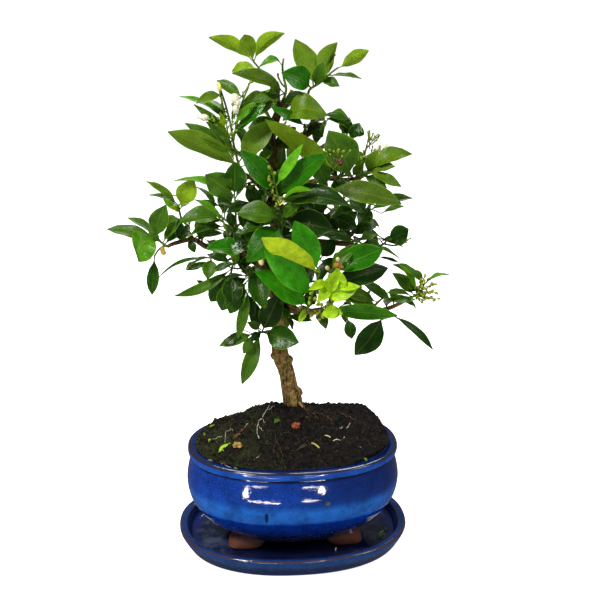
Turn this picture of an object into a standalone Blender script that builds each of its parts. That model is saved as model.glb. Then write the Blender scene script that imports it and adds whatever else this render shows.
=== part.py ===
"""Citrus bonsai: a small citrus tree in an oval blue-glazed pot that stands on its saucer.

Lengths below are millimetres, +X is the pot's right, +Y is away from the front, +Z is up, and the origin is
the middle of the saucer's underside.  Meshes are written in metres.

The crown is described as it is seen from the front.  A seen point is (across, up, toward): the place that it
appears to have in the upright plane through the pot's middle, and how far it really stands in front of that
plane.  seen() slides it along the line of sight, so a leaf keeps its place in the front view at any depth.
"""
import math
from collections import namedtuple

import bpy
from mathutils import Matrix, Vector
from mathutils.bvhtree import BVHTree

for leftover in list(bpy.data.objects):
    bpy.data.objects.remove(leftover, do_unlink=True)

MM = 0.001
EYE = Vector((-85.0, -996.0, 560.0))
SEAT = 0.3

# Driving sizes of the pot and its saucer
SEGMENTS = 32
OVAL_POWER = 2.25
POT_HALF_LENGTH = 100.0
POT_HALF_DEPTH = 73.5
POT_TOP = 100.0
POT_UNDERSIDE = 16.5
POT_FLOOR = 22.5
SAUCER_HALF_LENGTH = 108.6
SAUCER_HALF_DEPTH = 84.0
SAUCER_TOP = 19.5
SAUCER_FLOOR = 6.0
FOOT_CENTRE = (47.0, 27.0)
FOOT_HALF_SIZE = (18.5, 12.0)
DRAIN_RADIUS = 7.0
DRAIN_OFFSET = 22.0

# Driving sizes of the soil and the trunk
SOIL_EDGE = 98.5
SOIL_CREST = 129.5
CREST_DEPTH = 20.0
FOOT_OF_TRUNK = (0.3, 137.0, -25.0)
PLUG_RADIUS = 9.2
PLUG_DEPTH = 34.0
OVERHEAD = 200.0

# Driving sizes of the leaves and shoots
BLADE_THICKNESS = 0.9
BLADE_FOLD = 0.22
BROAD_OUTLINE = ((0.26, 0.86), (0.52, 1.0), (0.78, 0.64))
PLAIN_OUTLINE = ((0.34, 1.0), (0.70, 0.80))
SMALL_OUTLINE = ((0.48, 1.0),)
BROAD_LEAF = 17.5
STALKED_LEAF = 12.5
SMALL_LEAF = 9.5
STALK_SHARE = 0.14
STALK_LONGEST = 6.0
SHOOT_RADIUS = 1.2
SMALL_BUD = 1.7
THICK_LIMB = 2.5
CLEARANCE = 0.35


def seen(across, up, toward):
    """Real place of a point that appears at (across, up) and stands toward millimetres in front."""
    on_plane = Vector((across, 0.0, up))
    return EYE + (on_plane - EYE) * (1.0 + toward / EYE.y)


def make_material(name, colour, roughness, metallic=0.0):
    material = bpy.data.materials.new(name)
    material.use_nodes = True
    shader = material.node_tree.nodes["Principled BSDF"]
    shader.inputs["Base Color"].default_value = (*colour, 1.0)
    shader.inputs["Roughness"].default_value = roughness
    shader.inputs["Metallic"].default_value = metallic
    return material


def make_object(name, vertices, faces, material=None):
    mesh = bpy.data.meshes.new(name)
    mesh.from_pydata([tuple(Vector(v) * MM) for v in vertices], [], faces)
    mesh.validate()
    thing = bpy.data.objects.new(name, mesh)
    bpy.context.scene.collection.objects.link(thing)
    if material is not None:
        mesh.materials.append(material)
    return thing


def combine(target, tools, operation="UNION"):
    """Join the tools to the target, or cut them from it, apply the result and remove the tools."""
    if not tools:
        return
    group = bpy.data.collections.new("tools")
    bpy.context.scene.collection.children.link(group)
    for tool in tools:
        group.objects.link(tool)
        bpy.context.scene.collection.objects.unlink(tool)
    modifier = target.modifiers.new("join", "BOOLEAN")
    modifier.operand_type = "COLLECTION"
    modifier.collection = group
    modifier.operation = operation
    modifier.solver = "EXACT"
    graph = bpy.context.evaluated_depsgraph_get()
    joined = bpy.data.meshes.new_from_object(target.evaluated_get(graph))
    target.modifiers.clear()
    target.data = joined
    for tool in list(group.objects):
        bpy.data.objects.remove(tool, do_unlink=True)
    bpy.data.collections.remove(group)


# Lofts and tubes

def oval(half_length, half_depth, height):
    """Ring of a rounded oval, fuller at its ends than an ellipse."""
    ring = []
    for step in range(SEGMENTS):
        angle = 2.0 * math.pi * step / SEGMENTS
        across = math.copysign(abs(math.cos(angle)) ** (2.0 / OVAL_POWER), math.cos(angle))
        deep = math.copysign(abs(math.sin(angle)) ** (2.0 / OVAL_POWER), math.sin(angle))
        ring.append(Vector((half_length * across, half_depth * deep, height)))
    return ring


def loft(rings):
    """Closed solid through rings of equal count, flat at the first and the last."""
    count = len(rings[0])
    vertices = [point for ring in rings for point in ring]
    faces = [list(range(count))[::-1]]
    for level in range(len(rings) - 1):
        low = level * count
        high = low + count
        for step in range(count):
            after = (step + 1) % count
            faces.append([low + step, low + after, high + after, high + step])
    last = (len(rings) - 1) * count
    faces.append([last + step for step in range(count)])
    return vertices, faces


def tube(route, radii, sides, start=None, end=None):
    """Round tube along a route, turned as little as possible; start and end set what its end faces face."""
    ways = []
    for index in range(len(route)):
        before = route[max(index - 1, 0)]
        after = route[min(index + 1, len(route) - 1)]
        ways.append((after - before).normalized())
    if start is not None:
        ways[0] = start
    if end is not None:
        ways[-1] = end
    side = ways[0].orthogonal().normalized()
    rings = []
    for point, way, radius in zip(route, ways, radii):
        side = (side - way * side.dot(way)).normalized()
        other = way.cross(side)
        ring = []
        for step in range(sides):
            angle = 2.0 * math.pi * step / sides
            ring.append(point + (side * math.cos(angle) + other * math.sin(angle)) * radius)
        rings.append(ring)
    return loft(rings)


# Saucer: pressed oval dish, its rim a little proud of the pot all round

BLUE = make_material("blue_glaze", (0.010, 0.055, 0.42), 0.12)


def make_saucer():
    long, deep, top = SAUCER_HALF_LENGTH, SAUCER_HALF_DEPTH, SAUCER_TOP
    profile = [
        (long - 12.6, deep - 10.0, 0.0),
        (long - 8.0, deep - 6.5, 2.5),
        (long - 2.6, deep - 2.4, 11.0),
        (long, deep, 17.0),
        (long - 0.8, deep - 0.8, top),
        (long - 3.6, deep - 3.4, top),
        (long - 7.8, deep - 7.2, top - 1.8),
        (long - 9.6, deep - 9.0, 10.5),
        (long - 14.0, deep - 13.0, SAUCER_FLOOR + 0.8),
        (long - 19.0, deep - 18.0, SAUCER_FLOOR),
    ]
    return make_object("saucer", *loft([oval(*ring) for ring in profile]), BLUE)


# Pot: one fired piece with its rim band, neck groove, full belly and four feet

POT_INNER = [
    (POT_HALF_LENGTH - 9.5, POT_HALF_DEPTH - 10.0, POT_TOP),
    (POT_HALF_LENGTH - 10.7, POT_HALF_DEPTH - 11.2, 97.5),
    (POT_HALF_LENGTH - 7.0, POT_HALF_DEPTH - 7.0, 70.0),
    (POT_HALF_LENGTH - 12.0, POT_HALF_DEPTH - 12.0, 44.0),
    (POT_HALF_LENGTH - 27.0, POT_HALF_DEPTH - 24.0, 28.5),
    (POT_HALF_LENGTH - 37.0, POT_HALF_DEPTH - 33.0, POT_FLOOR),
]


def make_foot(sign_x, sign_y):
    """Rounded foot, narrow where it stands, whose top leans inwards and ends inside the pot's floor."""
    long, deep = FOOT_HALF_SIZE
    levels = [(0.60, 1.0, SAUCER_FLOOR + SEAT), (0.86, 1.0, SAUCER_FLOOR + 2.5),
              (0.97, 0.94, POT_UNDERSIDE - 2.0), (0.85, 0.84, POT_UNDERSIDE + 3.5)]
    rings = []
    for share, shift, height in levels:
        centre = Vector((sign_x * FOOT_CENTRE[0] * shift, sign_y * FOOT_CENTRE[1] * shift, 0.0))
        ring = []
        for step in range(10):
            angle = 2.0 * math.pi * step / 10
            across = math.copysign(abs(math.cos(angle)) ** 0.7, math.cos(angle)) * long * share
            back = math.copysign(abs(math.sin(angle)) ** 0.7, math.sin(angle)) * deep * share
            ring.append(centre + Vector((across, back, height)))
        rings.append(ring)
    return make_object("foot", *loft(rings))


def make_drill(offset):
    route = [Vector((offset, 0.0, POT_UNDERSIDE - 6.0)), Vector((offset, 0.0, POT_FLOOR + 2.0))]
    return make_object("drill", *tube(route, [DRAIN_RADIUS] * 2, 12))


def make_pot():
    long, deep = POT_HALF_LENGTH, POT_HALF_DEPTH
    outer = [
        (long - 38.0, deep - 31.5, POT_UNDERSIDE),
        (long - 32.0, deep - 27.5, 19.0),
        (long - 23.5, deep - 20.5, 26.0),
        (long - 14.0, deep - 12.5, 34.0),
        (long - 6.5, deep - 6.0, 44.0),
        (long - 2.0, deep - 2.0, 54.0),
        (long, deep, 66.0),
        (long - 0.9, deep - 0.9, 76.0),
        (long - 3.4, deep - 3.4, 86.5),
        (long - 4.6, deep - 4.6, 91.0),
        (long - 2.2, deep - 2.2, 93.0),
        (long - 1.4, deep - 1.8, 98.0),
        (long - 3.0, deep - 3.0, POT_TOP),
    ]
    pot = make_object("pot", *loft([oval(*ring) for ring in outer + POT_INNER]), BLUE)
    combine(pot, [make_foot(x, y) for x in (-1, 1) for y in (-1, 1)])
    combine(pot, [make_drill(x) for x in (-DRAIN_OFFSET, DRAIN_OFFSET)], "DIFFERENCE")
    return pot


# Soil: fills the pot a seat's width off its wall, heaped over the rim, with a plain hole for the trunk

def crest_height(across):
    """Height of the heap's ridge: a long slope on the left, a level top and a short fall on the right."""
    left = min(max((across + 92.0) / 66.0, 0.0), 1.0)
    right = min(max((93.0 - across) / 28.0, 0.0), 1.0)
    ease = left * (1.1 - 0.1 * left) * math.sin(0.5 * math.pi * right)
    top = SOIL_CREST - 0.07 * max(across, 0.0)
    return SOIL_EDGE + (top - SOIL_EDGE) * ease


def soil_height(across, back):
    reach = (POT_HALF_DEPTH - 12.0) - math.copysign(CREST_DEPTH, back - CREST_DEPTH)
    share = min(abs(back - CREST_DEPTH) / reach, 1.0)
    lump = 1.1 * math.sin(across * 0.21 + 1.3) * math.cos(back * 0.27 + across * 0.05)
    lump *= 1.0 - share
    return SOIL_EDGE + (crest_height(across) - SOIL_EDGE) * (1.0 - share ** 1.7) + lump


def make_soil():
    rings = [oval(long - SEAT, deep - SEAT, height) for long, deep, height in POT_INNER[:0:-1]]
    rings[0] = oval(POT_INNER[-1][0] - SEAT, POT_INNER[-1][1] - SEAT, POT_FLOOR + SEAT)
    foot = seen(*FOOT_OF_TRUNK)
    edge = oval(POT_INNER[1][0] - 1.2, POT_INNER[1][1] - 1.2, 0.0)
    for share in (1.0, 0.82, 0.64, 0.46, 0.28, 0.12):
        ring = []
        for point in edge:
            across = foot.x + (point.x - foot.x) * share
            back = foot.y + (point.y - foot.y) * share
            ring.append(Vector((across, back, soil_height(across, back))))
        rings.append(ring)
    soil = make_object("soil", *loft(rings), make_material("dark_peat", (0.018, 0.012, 0.008), 0.95))
    floor = Vector((foot.x, foot.y, foot.z - PLUG_DEPTH))
    route = [floor, Vector((foot.x, foot.y, OVERHEAD))]
    hole = make_object("hole", *tube(route, [PLUG_RADIUS + SEAT] * 2, 14))
    combine(soil, [hole], "DIFFERENCE")
    return soil


# Trunk: (seen place, radius) from its foot to its top, and the cut stub beside its top

TRUNK = [
    ((0.0, 141.0, -25.0), 8.6),
    ((-2.4, 152.0, -24.0), 7.7),
    ((-5.6, 170.0, -22.0), 7.0),
    ((-9.8, 182.0, -20.0), 7.8),
    ((-11.8, 192.0, -19.0), 7.5),
    ((-12.4, 208.0, -17.0), 6.5),
    ((-13.0, 227.0, -14.0), 5.8),
    ((-15.0, 250.0, -12.0), 5.6),
    ((-15.0, 280.0, -10.0), 5.5),
    ((-14.0, 305.0, -8.0), 5.2),
    ((-13.0, 328.0, -6.0), 5.2),
    ((-14.0, 348.0, -8.0), 4.7),
    ((-17.0, 367.0, -10.0), 4.7),
    ((-19.0, 386.0, -10.0), 5.0),
    ((-15.0, 401.0, -8.0), 4.0),
    ((-10.0, 413.0, -6.0), 3.2),
]
STUB = [((-10.0, 410.0, -6.0), 3.0), ((-4.0, 419.0, -5.0), 2.7), ((1.5, 427.0, -4.0), 3.1)]

# Each spray: the woody stretch it stands on, from the trunk or from a lower branch, with its radius there;
# its green shoots, the first one standing on the wood's end; its leaves and its buds

Spray = namedtuple("Spray", "name thick wood shoots leaves buds")
Leaf = namedtuple("Leaf", "on along tip width face arch bow")
Bud = namedtuple("Bud", "on along tip radius")


def leaf(along, tip, width, face=60.0, arch=2.0, bow=0.0, on=0):
    """One leaf: its place on its shoot, seen tip, width, tilt of its upper side (0 is up, 90 to the front),
    how far its middle arches off the chord and bows within its own plane, and the shoot it is on."""
    return Leaf(on, along, tip, width, face, arch, bow)


def bud(along, tip, radius, on=0):
    return Bud(on, along, tip, radius)


SPRAYS = [
    Spray("spray_top_left", 2.2, [(-10, 414, -6), (-14, 424, -11)],
          [[(-14, 424, -11), (-21, 437, -13), (-28, 447, -12), (-33, 453, -10)]],
          [leaf(2.9, (-70, 473, -10), 15, -65, 1, -4), leaf(3.0, (-40, 475, 4), 16, -80, 1),
           leaf(3.0, (-6, 476, -8), 15, -70, 2, 5), leaf(1.9, (-51, 445, -26), 13, 60)], []),
    Spray("spray_leader", 2.4, [(-10, 412, -6), (-7, 421, -5)],
          [[(-7, 421, -5), (-5, 429, -5), (-7, 439, -4), (-8, 448, -4), (-7, 455, -5)],
           [(-6, 431, -5), (-9, 434, -3), (-12, 440, -3)]],
          [leaf(0.5, (-51, 443, 6), 14, 50, 8), leaf(3.0, (-28, 449, 4), 8, 40, 8),
           leaf(0.6, (-48, 407, 14), 19, 50, 5)],
          [bud(2.0, (-12, 442, -3), 1.3, on=1)]),
    Spray("spray_top_low", 2.2, [(-16, 396, -8), (-10, 398, -1)],
          [[(-10, 398, -1), (-7, 399, 3), (-5, 401, 5)]],
          [leaf(1.6, (31, 406, 18), 27, 45, 15), leaf(0.8, (-38, 396, -2), 15, 50, 3)], []),
    Spray("spray_top_right", 3.0, [(-17, 374, -9), (-4, 384, -5), (10, 388, -1), (18, 394, 1), (17, 406, 2),
                                   (14, 419, 2)],
          [[(14, 419, 2), (15, 428, 3), (24, 434, 4), (33, 442, 5), (40, 447, 5)]],
          [leaf(1.2, (-9, 442, 18), 20, 70, 3), leaf(1.4, (3, 471, -8), 19, -80, 1),
           leaf(2.2, (39, 468, -10), 14, -70), leaf(1.5, (27, 452, 14), 12, 75),
           leaf(4.0, (66, 462, 3), 13, -60, -2), leaf(2.8, (60, 438, 6), 11, 15, 1),
           leaf(2.1, (41, 431, 13), 10, 50), leaf(2.6, (38, 458, -16), 9, -20)], []),
    Spray("spray_upper_left", 4.2, [(-13, 316, -6), (-20, 334, 1), (-32, 349, 6), (-43, 357, 8)],
          [[(-43, 357, 8), (-47, 366, 9), (-51, 384, 10), (-53, 399, 10), (-57, 416, 11), (-61, 429, 12)],
           [(-51, 384, 10), (-48, 400, 16), (-45, 412, 18), (-41, 423, 18), (-37, 432, 17)]],
          [leaf(0.5, (-107, 394, 14), 19, -60, 2, -3), leaf(1.4, (-92, 399, 2), 11, 60),
           leaf(1.5, (-74, 402, 26), 9, 70), leaf(2.1, (-84, 417, 20), 8, 50),
           leaf(1.0, (-16, 403, 14), 20, 60), leaf(2.3, (-23, 417, 24), 9, 50),
           leaf(3.4, (-96, 424, 8), 10, 20), leaf(3.6, (-80, 421, -8), 10, 5),
           leaf(4.7, (-82, 419, 22), 10, 50, 7), leaf(2.9, (-64, 438, 6), 11, 55, on=1),
           leaf(1.2, (-30, 420, 30), 10, 55, on=1)],
          [bud(5.0, (-63, 435, 12), 2.2), bud(3.2, (-83, 407, 24), 3.6), bud(1.9, (-49, 425, 28), 3.8, on=1),
           bud(1.4, (-49, 415, 32), 3.5, on=1), bud(4.0, (-35, 437, 17), 1.2, on=1)]),
    Spray("spray_left_upper", 2.1, [(-42, 281, 5), (-47, 290, 8), (-48, 297, 10)],
          [[(-48, 297, 10), (-50, 312, 12), (-50, 326, 14), (-51, 338, 15)]],
          [leaf(3.0, (-76, 356, 22), 19, 70, 1), leaf(3.0, (-50, 367, 16), 16, 75),
           leaf(2.7, (-103, 351, 8), 11, 25, 7), leaf(2.0, (-66, 331, 4), 8, 30),
           leaf(2.6, (-39, 354, 6), 5, 60)], []),
    Spray("spray_left_arch", 2.0, [(-58, 287, 9), (-56, 296, 13)],
          [[(-56, 296, 13), (-58, 305, 16), (-62, 316, 17)]],
          [leaf(2.0, (-100, 313, 22), 15, 35, 10), leaf(1.6, (-86, 334, 8), 10, 10),
           leaf(1.4, (-88, 305, 10), 12, 50, 3), leaf(0.9, (-93, 300, 20), 8, 15, 5)], []),
    Spray("spray_far_left", 3.6, [(-15, 262, -11), (-35, 277, 3), (-60, 288, 9), (-76, 291, 8), (-88, 298, 5),
                                  (-104, 295, 5), (-111, 292, 6)],
          [[(-111, 292, 6), (-116, 296, 8), (-119, 300, 9)],
           [(-113, 294, 7), (-119, 289, 9), (-123, 283, 10)]],
          [leaf(2.0, (-163, 309, 4), 14, 40, 1), leaf(1.7, (-145, 319, -6), 11, 10),
           leaf(1.9, (-111, 330, 16), 17, 65, 1, -3), leaf(1.2, (-137, 279, 22), 25, 75, 1, 9),
           leaf(2.0, (-127, 247, 11), 13, 80, on=1), leaf(0.8, (-97, 317, 12), 9, 40),
           leaf(0.5, (-97, 307, -2), 8, 50)],
          [bud(0.7, (-114, 286, 17), 2.8, on=1)]),
    Spray("spray_left_high", 2.0, [(-88, 298, 5), (-92, 305, 3), (-93, 311, 2)],
          [[(-93, 311, 2), (-98, 318, 2), (-100, 330, 3)]],
          [leaf(2.0, (-127, 351, 4), 10, 30), leaf(1.8, (-125, 339, -8), 9, 5),
           leaf(2.0, (-86, 352, 8), 18, 75), leaf(1.6, (-91, 331, -8), 6, 30),
           leaf(0.9, (-114, 312, -8), 11, 50), leaf(1.5, (-108, 327, 12), 6, 60)], []),
    Spray("spray_left_low", 1.9, [(-68, 289, 9), (-70, 284, 12)],
          [[(-70, 284, 12), (-73, 280, 13)]],
          [leaf(1.0, (-120, 263, 10), 9, 5, 4), leaf(0.8, (-76, 261, 24), 13, 70),
           leaf(0.6, (-95, 271, -18), 8, 20)], []),
    Spray("spray_left_hanging", 2.2, [(-35, 277, 3), (-46, 277, 13), (-53, 275, 18)],
          [[(-53, 275, 18), (-55, 266, 22), (-54, 258, 24)]],
          [leaf(0.4, (-106, 246, 28), 11, 40, -6), leaf(1.2, (-54, 236, 36), 18, 75),
           leaf(0.8, (-74, 240, 14), 16, 60), leaf(1.8, (-64, 231, 26), 17, 60)], []),
    Spray("spray_left_inner", 2.4, [(-15, 266, -11), (-22, 270, 4), (-28, 271, 14)],
          [[(-28, 271, 14), (-36, 271, 22), (-39, 262, 27), (-39, 250, 28)]],
          [leaf(0.8, (-27, 233, 42), 19, 80), leaf(2.0, (-58, 250, 10), 13, 60),
           leaf(3.0, (-50, 204, 30), 10, 60, 1)], []),
    Spray("spray_front_upper", 3.0, [(-13, 312, -8), (-13, 321, 12), (-12, 327, 26)],
          [[(-12, 327, 26), (-13, 336, 36), (-15, 346, 42), (-18, 358, 46)]],
          [leaf(1.2, (-45, 377, 50), 19, 60), leaf(1.8, (9, 381, 58), 9, 60),
           leaf(0.9, (31, 373, 62), 21, 65, 1), leaf(1.0, (-9, 361, 36), 14, 70),
           leaf(0.5, (52, 325, 66), 19, 45, 10)],
          [bud(2.0, (-22, 352, 52), 1.6), bud(2.4, (-15, 358, 55), 1.6), bud(3.0, (-21, 363, 50), 1.7),
           bud(2.7, (-22, 358, 42), 1.5)]),
    Spray("spray_front_middle", 2.8, [(-15, 286, -9), (-12, 297, 12), (-10, 303, 25)],
          [[(-10, 303, 25), (-9, 309, 32), (-10, 316, 36)]],
          [leaf(2.0, (-49, 320, 34), 20, 50, 3), leaf(1.1, (-48, 300, 46), 13, 25, 6),
           leaf(0.7, (-41, 276, 68), 25, 60, 5), leaf(1.6, (36, 304, 46), 24, 60, 3),
           leaf(2.0, (9, 330, 52), 9, 60)], []),
    Spray("spray_front_left", 2.8, [(-15, 270, -10), (-26, 279, 20), (-33, 283, 34)],
          [[(-33, 283, 34), (-37, 287, 41), (-40, 291, 45)]],
          [leaf(1.0, (-77, 289, 48), 18, 40, 1), leaf(1.8, (-52, 304, 40), 14, 50),
           leaf(1.9, (-33, 311, 60), 12, 60)], []),
    Spray("spray_front_low", 2.8, [(-14, 240, -12), (-3, 235, 8), (8, 229, 30)],
          [[(8, 229, 30), (15, 233, 40), (18, 243, 47), (22, 256, 52), (25, 266, 55)]],
          [leaf(1.0, (-34, 267, 60), 21, 60), leaf(2.0, (-25, 286, 68), 23, 60),
           leaf(4.0, (-27, 298, 84), 22, -50, 3), leaf(4.0, (2, 313, 62), 22, 65),
           leaf(0.6, (6, 217, 44), 6, 80)],
          [bud(1.3, (22, 241, 56), 2.0), bud(0.7, (5, 232, 50), 1.7)]),
    Spray("spray_front_right", 3.2, [(-14, 250, -12), (2, 247, 10), (20, 249, 34), (29, 250, 47)],
          [[(29, 250, 47), (33, 252, 56), (36, 254, 64)],
           [(33, 252, 56), (33, 260, 54), (34, 265, 52)]],
          [leaf(2.0, (82, 285, 48), 22, 55, on=1), leaf(1.0, (87, 267, 40), 20, 55, 1),
           leaf(1.9, (41, 268, 80), 15, 80), leaf(2.0, (62, 250, 84), 13, 60),
           leaf(1.8, (15, 248, 80), 10, 60), leaf(1.6, (23, 236, 78), 12, 65),
           leaf(1.6, (56, 290, 46), 11, 50, 3, on=1)],
          [bud(1.9, (43, 273, 68), 3.6, on=1), bud(2.0, (31, 270, 64), 2.3, on=1)]),
    Spray("spray_front_foot", 2.2, [(16, 228, 9), (21, 229, 20), (26, 230, 32)],
          [[(26, 230, 32), (30, 229, 44), (34, 228, 50)]],
          [leaf(2.0, (46, 225, 70), 13, 75), leaf(1.0, (97, 221, 48), 15, 65)],
          [bud(1.5, (25, 236, 60), 1.8), bud(1.2, (20, 224, 56), 1.6), bud(1.8, (32, 238, 66), 1.8)]),
    Spray("spray_low_left", 2.6, [(-12, 206, -17), (-21, 209, -7), (-25, 209, 0)],
          [[(-25, 209, 0), (-29, 209, 5), (-37, 208, 8)]],
          [leaf(0.5, (6, 198, 24), 22, 70), leaf(1.0, (-47, 158, 18), 18, 75),
           leaf(2.0, (-45, 189, 10), 9, 70), leaf(0.8, (-11, 246, 12), 21, 70),
           leaf(1.2, (-37, 241, 2), 12, 60), leaf(1.7, (-67, 197, 12), 13, 60, 1)], []),
    Spray("spray_low_right", 2.2, [(-13, 224, -14), (-6, 223, -8)],
          [[(-6, 223, -8), (-1, 223, -4)]],
          [leaf(1.0, (19, 223, 8), 11, 40, -3)], []),
    Spray("spray_right_top", 2.4, [(27, 350, 9), (37, 364, 5), (45, 377, 2), (47, 384, 1)],
          [[(47, 384, 1), (48, 390, 1)], [(48, 388, 1), (51, 386, 3), (54, 386, 4)]],
          [leaf(1.0, (30, 403, 8), 13, 40, 8), leaf(1.0, (50, 404, -6), 10, -30, -3),
           leaf(0.9, (40, 403, 16), 10, 70), leaf(2.0, (59, 401, 5), 14, 80, on=1)], []),
    Spray("spray_right_flower", 3.6, [(-15, 338, -8), (8, 345, 3), (27, 350, 9), (42, 352, 13)],
          [[(42, 352, 13), (48, 353, 19), (53, 352, 22)],
           [(44, 352, 15), (41, 361, 26), (37, 368, 32), (36, 372, 34)]],
          [leaf(2.0, (32, 393, 30), 31, 65, 3), leaf(0.5, (-23, 403, 48), 21, -50, 4, 5, on=1)],
          [bud(3.0, (32, 377, 36), 1.3, on=1), bud(3.0, (42, 377, 40), 1.3, on=1),
           bud(2.6, (48, 376, 42), 1.3, on=1), bud(2.0, (43, 366, 40), 2.4, on=1)]),
    Spray("spray_right_upper", 2.4, [(32, 351, 10), (46, 349, 2), (60, 351, 6)],
          [[(60, 351, 6), (64, 353, 8), (68, 356, 9)], [(62, 352, 7), (63, 366, 6), (66, 380, 6)]],
          [leaf(1.7, (106, 371, 10), 18, 50, 9), leaf(2.0, (91, 360, 26), 13, 45),
           leaf(0.4, (55, 375, 0), 13, 70, on=1),
           leaf(1.0, (95, 343, 12), 11, 45, 1), leaf(0.7, (84, 341, 26), 10, 50)],
          [bud(2.0, (68, 392, 6), 1.5, on=1), bud(1.7, (74, 388, 8), 1.5, on=1),
           bud(1.2, (79, 378, 4), 3.0, on=1), bud(1.9, (103, 377, -2), 3.0)]),
    Spray("spray_right_middle", 2.0, [(27, 350, 9), (30, 345, 18)],
          [[(30, 345, 18), (33, 341, 25)], [(31, 343, 20), (44, 339, 17), (52, 338, 13)]],
          [leaf(0.9, (98, 326, 42), 20, 60, 8), leaf(2.0, (64, 319, 14), 14, 75, -2, on=1),
           leaf(0.5, (19, 369, 24), 16, 75)], []),
    Spray("spray_right_dangling", 2.2, [(45, 291, 8), (58, 305, 5), (66, 317, 2)],
          [[(66, 317, 2), (69, 323, 2), (70, 330, 1), (69, 337, 0)]],
          [leaf(0.5, (108, 331, 4), 12, 40, 5), leaf(0.3, (59, 308, 16), 14, 60),
           leaf(3.0, (82, 347, -6), 12, 50), leaf(2.6, (58, 346, -10), 12, 50)], []),
    Spray("spray_right_end", 3.4, [(-14, 296, -9), (15, 294, 3), (45, 291, 8), (68, 287, 8), (79, 288, 8)],
          [[(79, 288, 8), (84, 291, 9), (85, 296, 9)], [(82, 290, 9), (92, 288, 10), (100, 290, 10)]],
          [leaf(1.8, (105, 304, 12), 16, 70), leaf(1.5, (47, 303, -4), 10, 5, 3)],
          [bud(2.0, (104, 291, 10), 1.2, on=1), bud(1.4, (97, 297, 10), 1.2, on=1)]),
    Spray("spray_right_inner", 2.0, [(45, 291, 8), (52, 292, 18)],
          [[(52, 292, 18), (58, 293, 26), (64, 290, 30)]],
          [leaf(1.0, (26, 299, 38), 12, 40), leaf(1.2, (76, 299, 22), 9, 40),
           leaf(2.0, (97, 276, 26), 7, 10), leaf(1.7, (80, 287, 38), 10, 45)], []),
    Spray("spray_right_low", 2.0, [(70, 226, 15), (75, 231, 17)],
          [[(75, 231, 17), (80, 236, 18), (86, 241, 17)]],
          [leaf(0.7, (42, 246, 32), 12, 50, 3), leaf(2.0, (64, 253, 26), 10, 50),
           leaf(1.6, (113, 236, 26), 10, 30, -2)], []),
    Spray("spray_right_fan", 1.9, [(50, 227, 15), (56, 231, 14)],
          [[(56, 231, 14), (59, 237, 12)], [(57, 233, 14), (52, 227, 23), (50, 220, 26)]],
          [leaf(1.0, (40, 242, 6), 9, 10), leaf(0.8, (72, 240, 2), 8, 40),
           leaf(1.0, (55, 258, -4), 13, 60), leaf(1.9, (54, 200, 32), 13, 75, on=1)], []),
    Spray("spray_right_tip", 3.4, [(-13, 232, -13), (10, 228, 6), (40, 227, 14), (62, 226, 16), (82, 227, 14),
                                   (97, 232, 11), (107, 238, 9)],
          [[(107, 238, 9), (113, 240, 9), (118, 244, 9), (121, 251, 9)]],
          [leaf(3.0, (91, 270, 16), 11, 30, 3), leaf(0.9, (91, 262, 0), 13, 45),
           leaf(1.4, (97, 270, 24), 8, 40), leaf(2.9, (144, 260, 8), 9, 10, 6),
           leaf(0.5, (87, 243, 24), 9, 40)],
          [bud(3.0, (126, 257, 9), 1.6), bud(2.5, (132, 251, 8), 1.6), bud(2.0, (131, 243, 10), 1.7),
           bud(1.6, (127, 236, 12), 1.7), bud(2.2, (122, 247, 21), 1.6), bud(2.7, (117, 257, 16), 1.6),
           bud(1.7, (121, 239, 22), 1.6), bud(1.3, (112, 250, 14), 1.5)]),
    Spray("spray_right_hanging", 1.9, [(78, 227, 14), (80, 223, 18)],
          [[(80, 223, 18), (85, 222, 20), (91, 223, 21)]],
          [leaf(2.0, (131, 187, 22), 13, 45, 4), leaf(0.8, (58, 184, 30), 23, 75)], []),
    Spray("spray_inner_low", 2.4, [(-15, 264, -11), (2, 269, 2), (15, 272, 13)],
          [[(15, 272, 13), (22, 275, 19), (26, 278, 22)]],
          [leaf(2.0, (38, 296, 26), 14, 60), leaf(1.6, (43, 264, 28), 14, 60),
           leaf(1.0, (8, 292, 20), 13, 50), leaf(0.6, (6, 252, 24), 14, 70)], []),
    Spray("spray_inner_right", 2.4, [(-14, 312, -8), (4, 316, 0), (18, 320, 6)],
          [[(18, 320, 6), (28, 318, 12), (36, 316, 14)]],
          [leaf(2.0, (58, 305, 22), 15, 70), leaf(2.0, (54, 321, 8), 13, 60),
           leaf(1.3, (38, 299, 22), 13, 70), leaf(1.0, (20, 336, 18), 13, 60)], []),
    Spray("spray_inner_left", 2.2, [(-14, 320, -7), (-27, 323, 2)],
          [[(-27, 323, 2), (-34, 328, 8)]],
          [leaf(1.0, (-38, 348, 12), 13, 60), leaf(0.8, (-20, 342, 12), 13, 60),
           leaf(1.0, (-58, 322, 14), 12, 60), leaf(0.6, (-38, 304, 16), 14, 60)], []),
    Spray("spray_centre", 2.0, [(10, 388, -1), (12, 393, 8)],
          [[(12, 393, 8), (11, 399, 12)], [(12, 395, 9), (18, 402, 12), (22, 406, 13)]],
          [leaf(0.7, (-8, 390, 12), 12, 50, 3)],
          [bud(2.0, (24, 410, 14), 1.3, on=1), bud(1.5, (28, 402, 18), 1.4, on=1)]),
]

# Shoots on the far side, which the front view hides: leaves set round them by the golden angle

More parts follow.
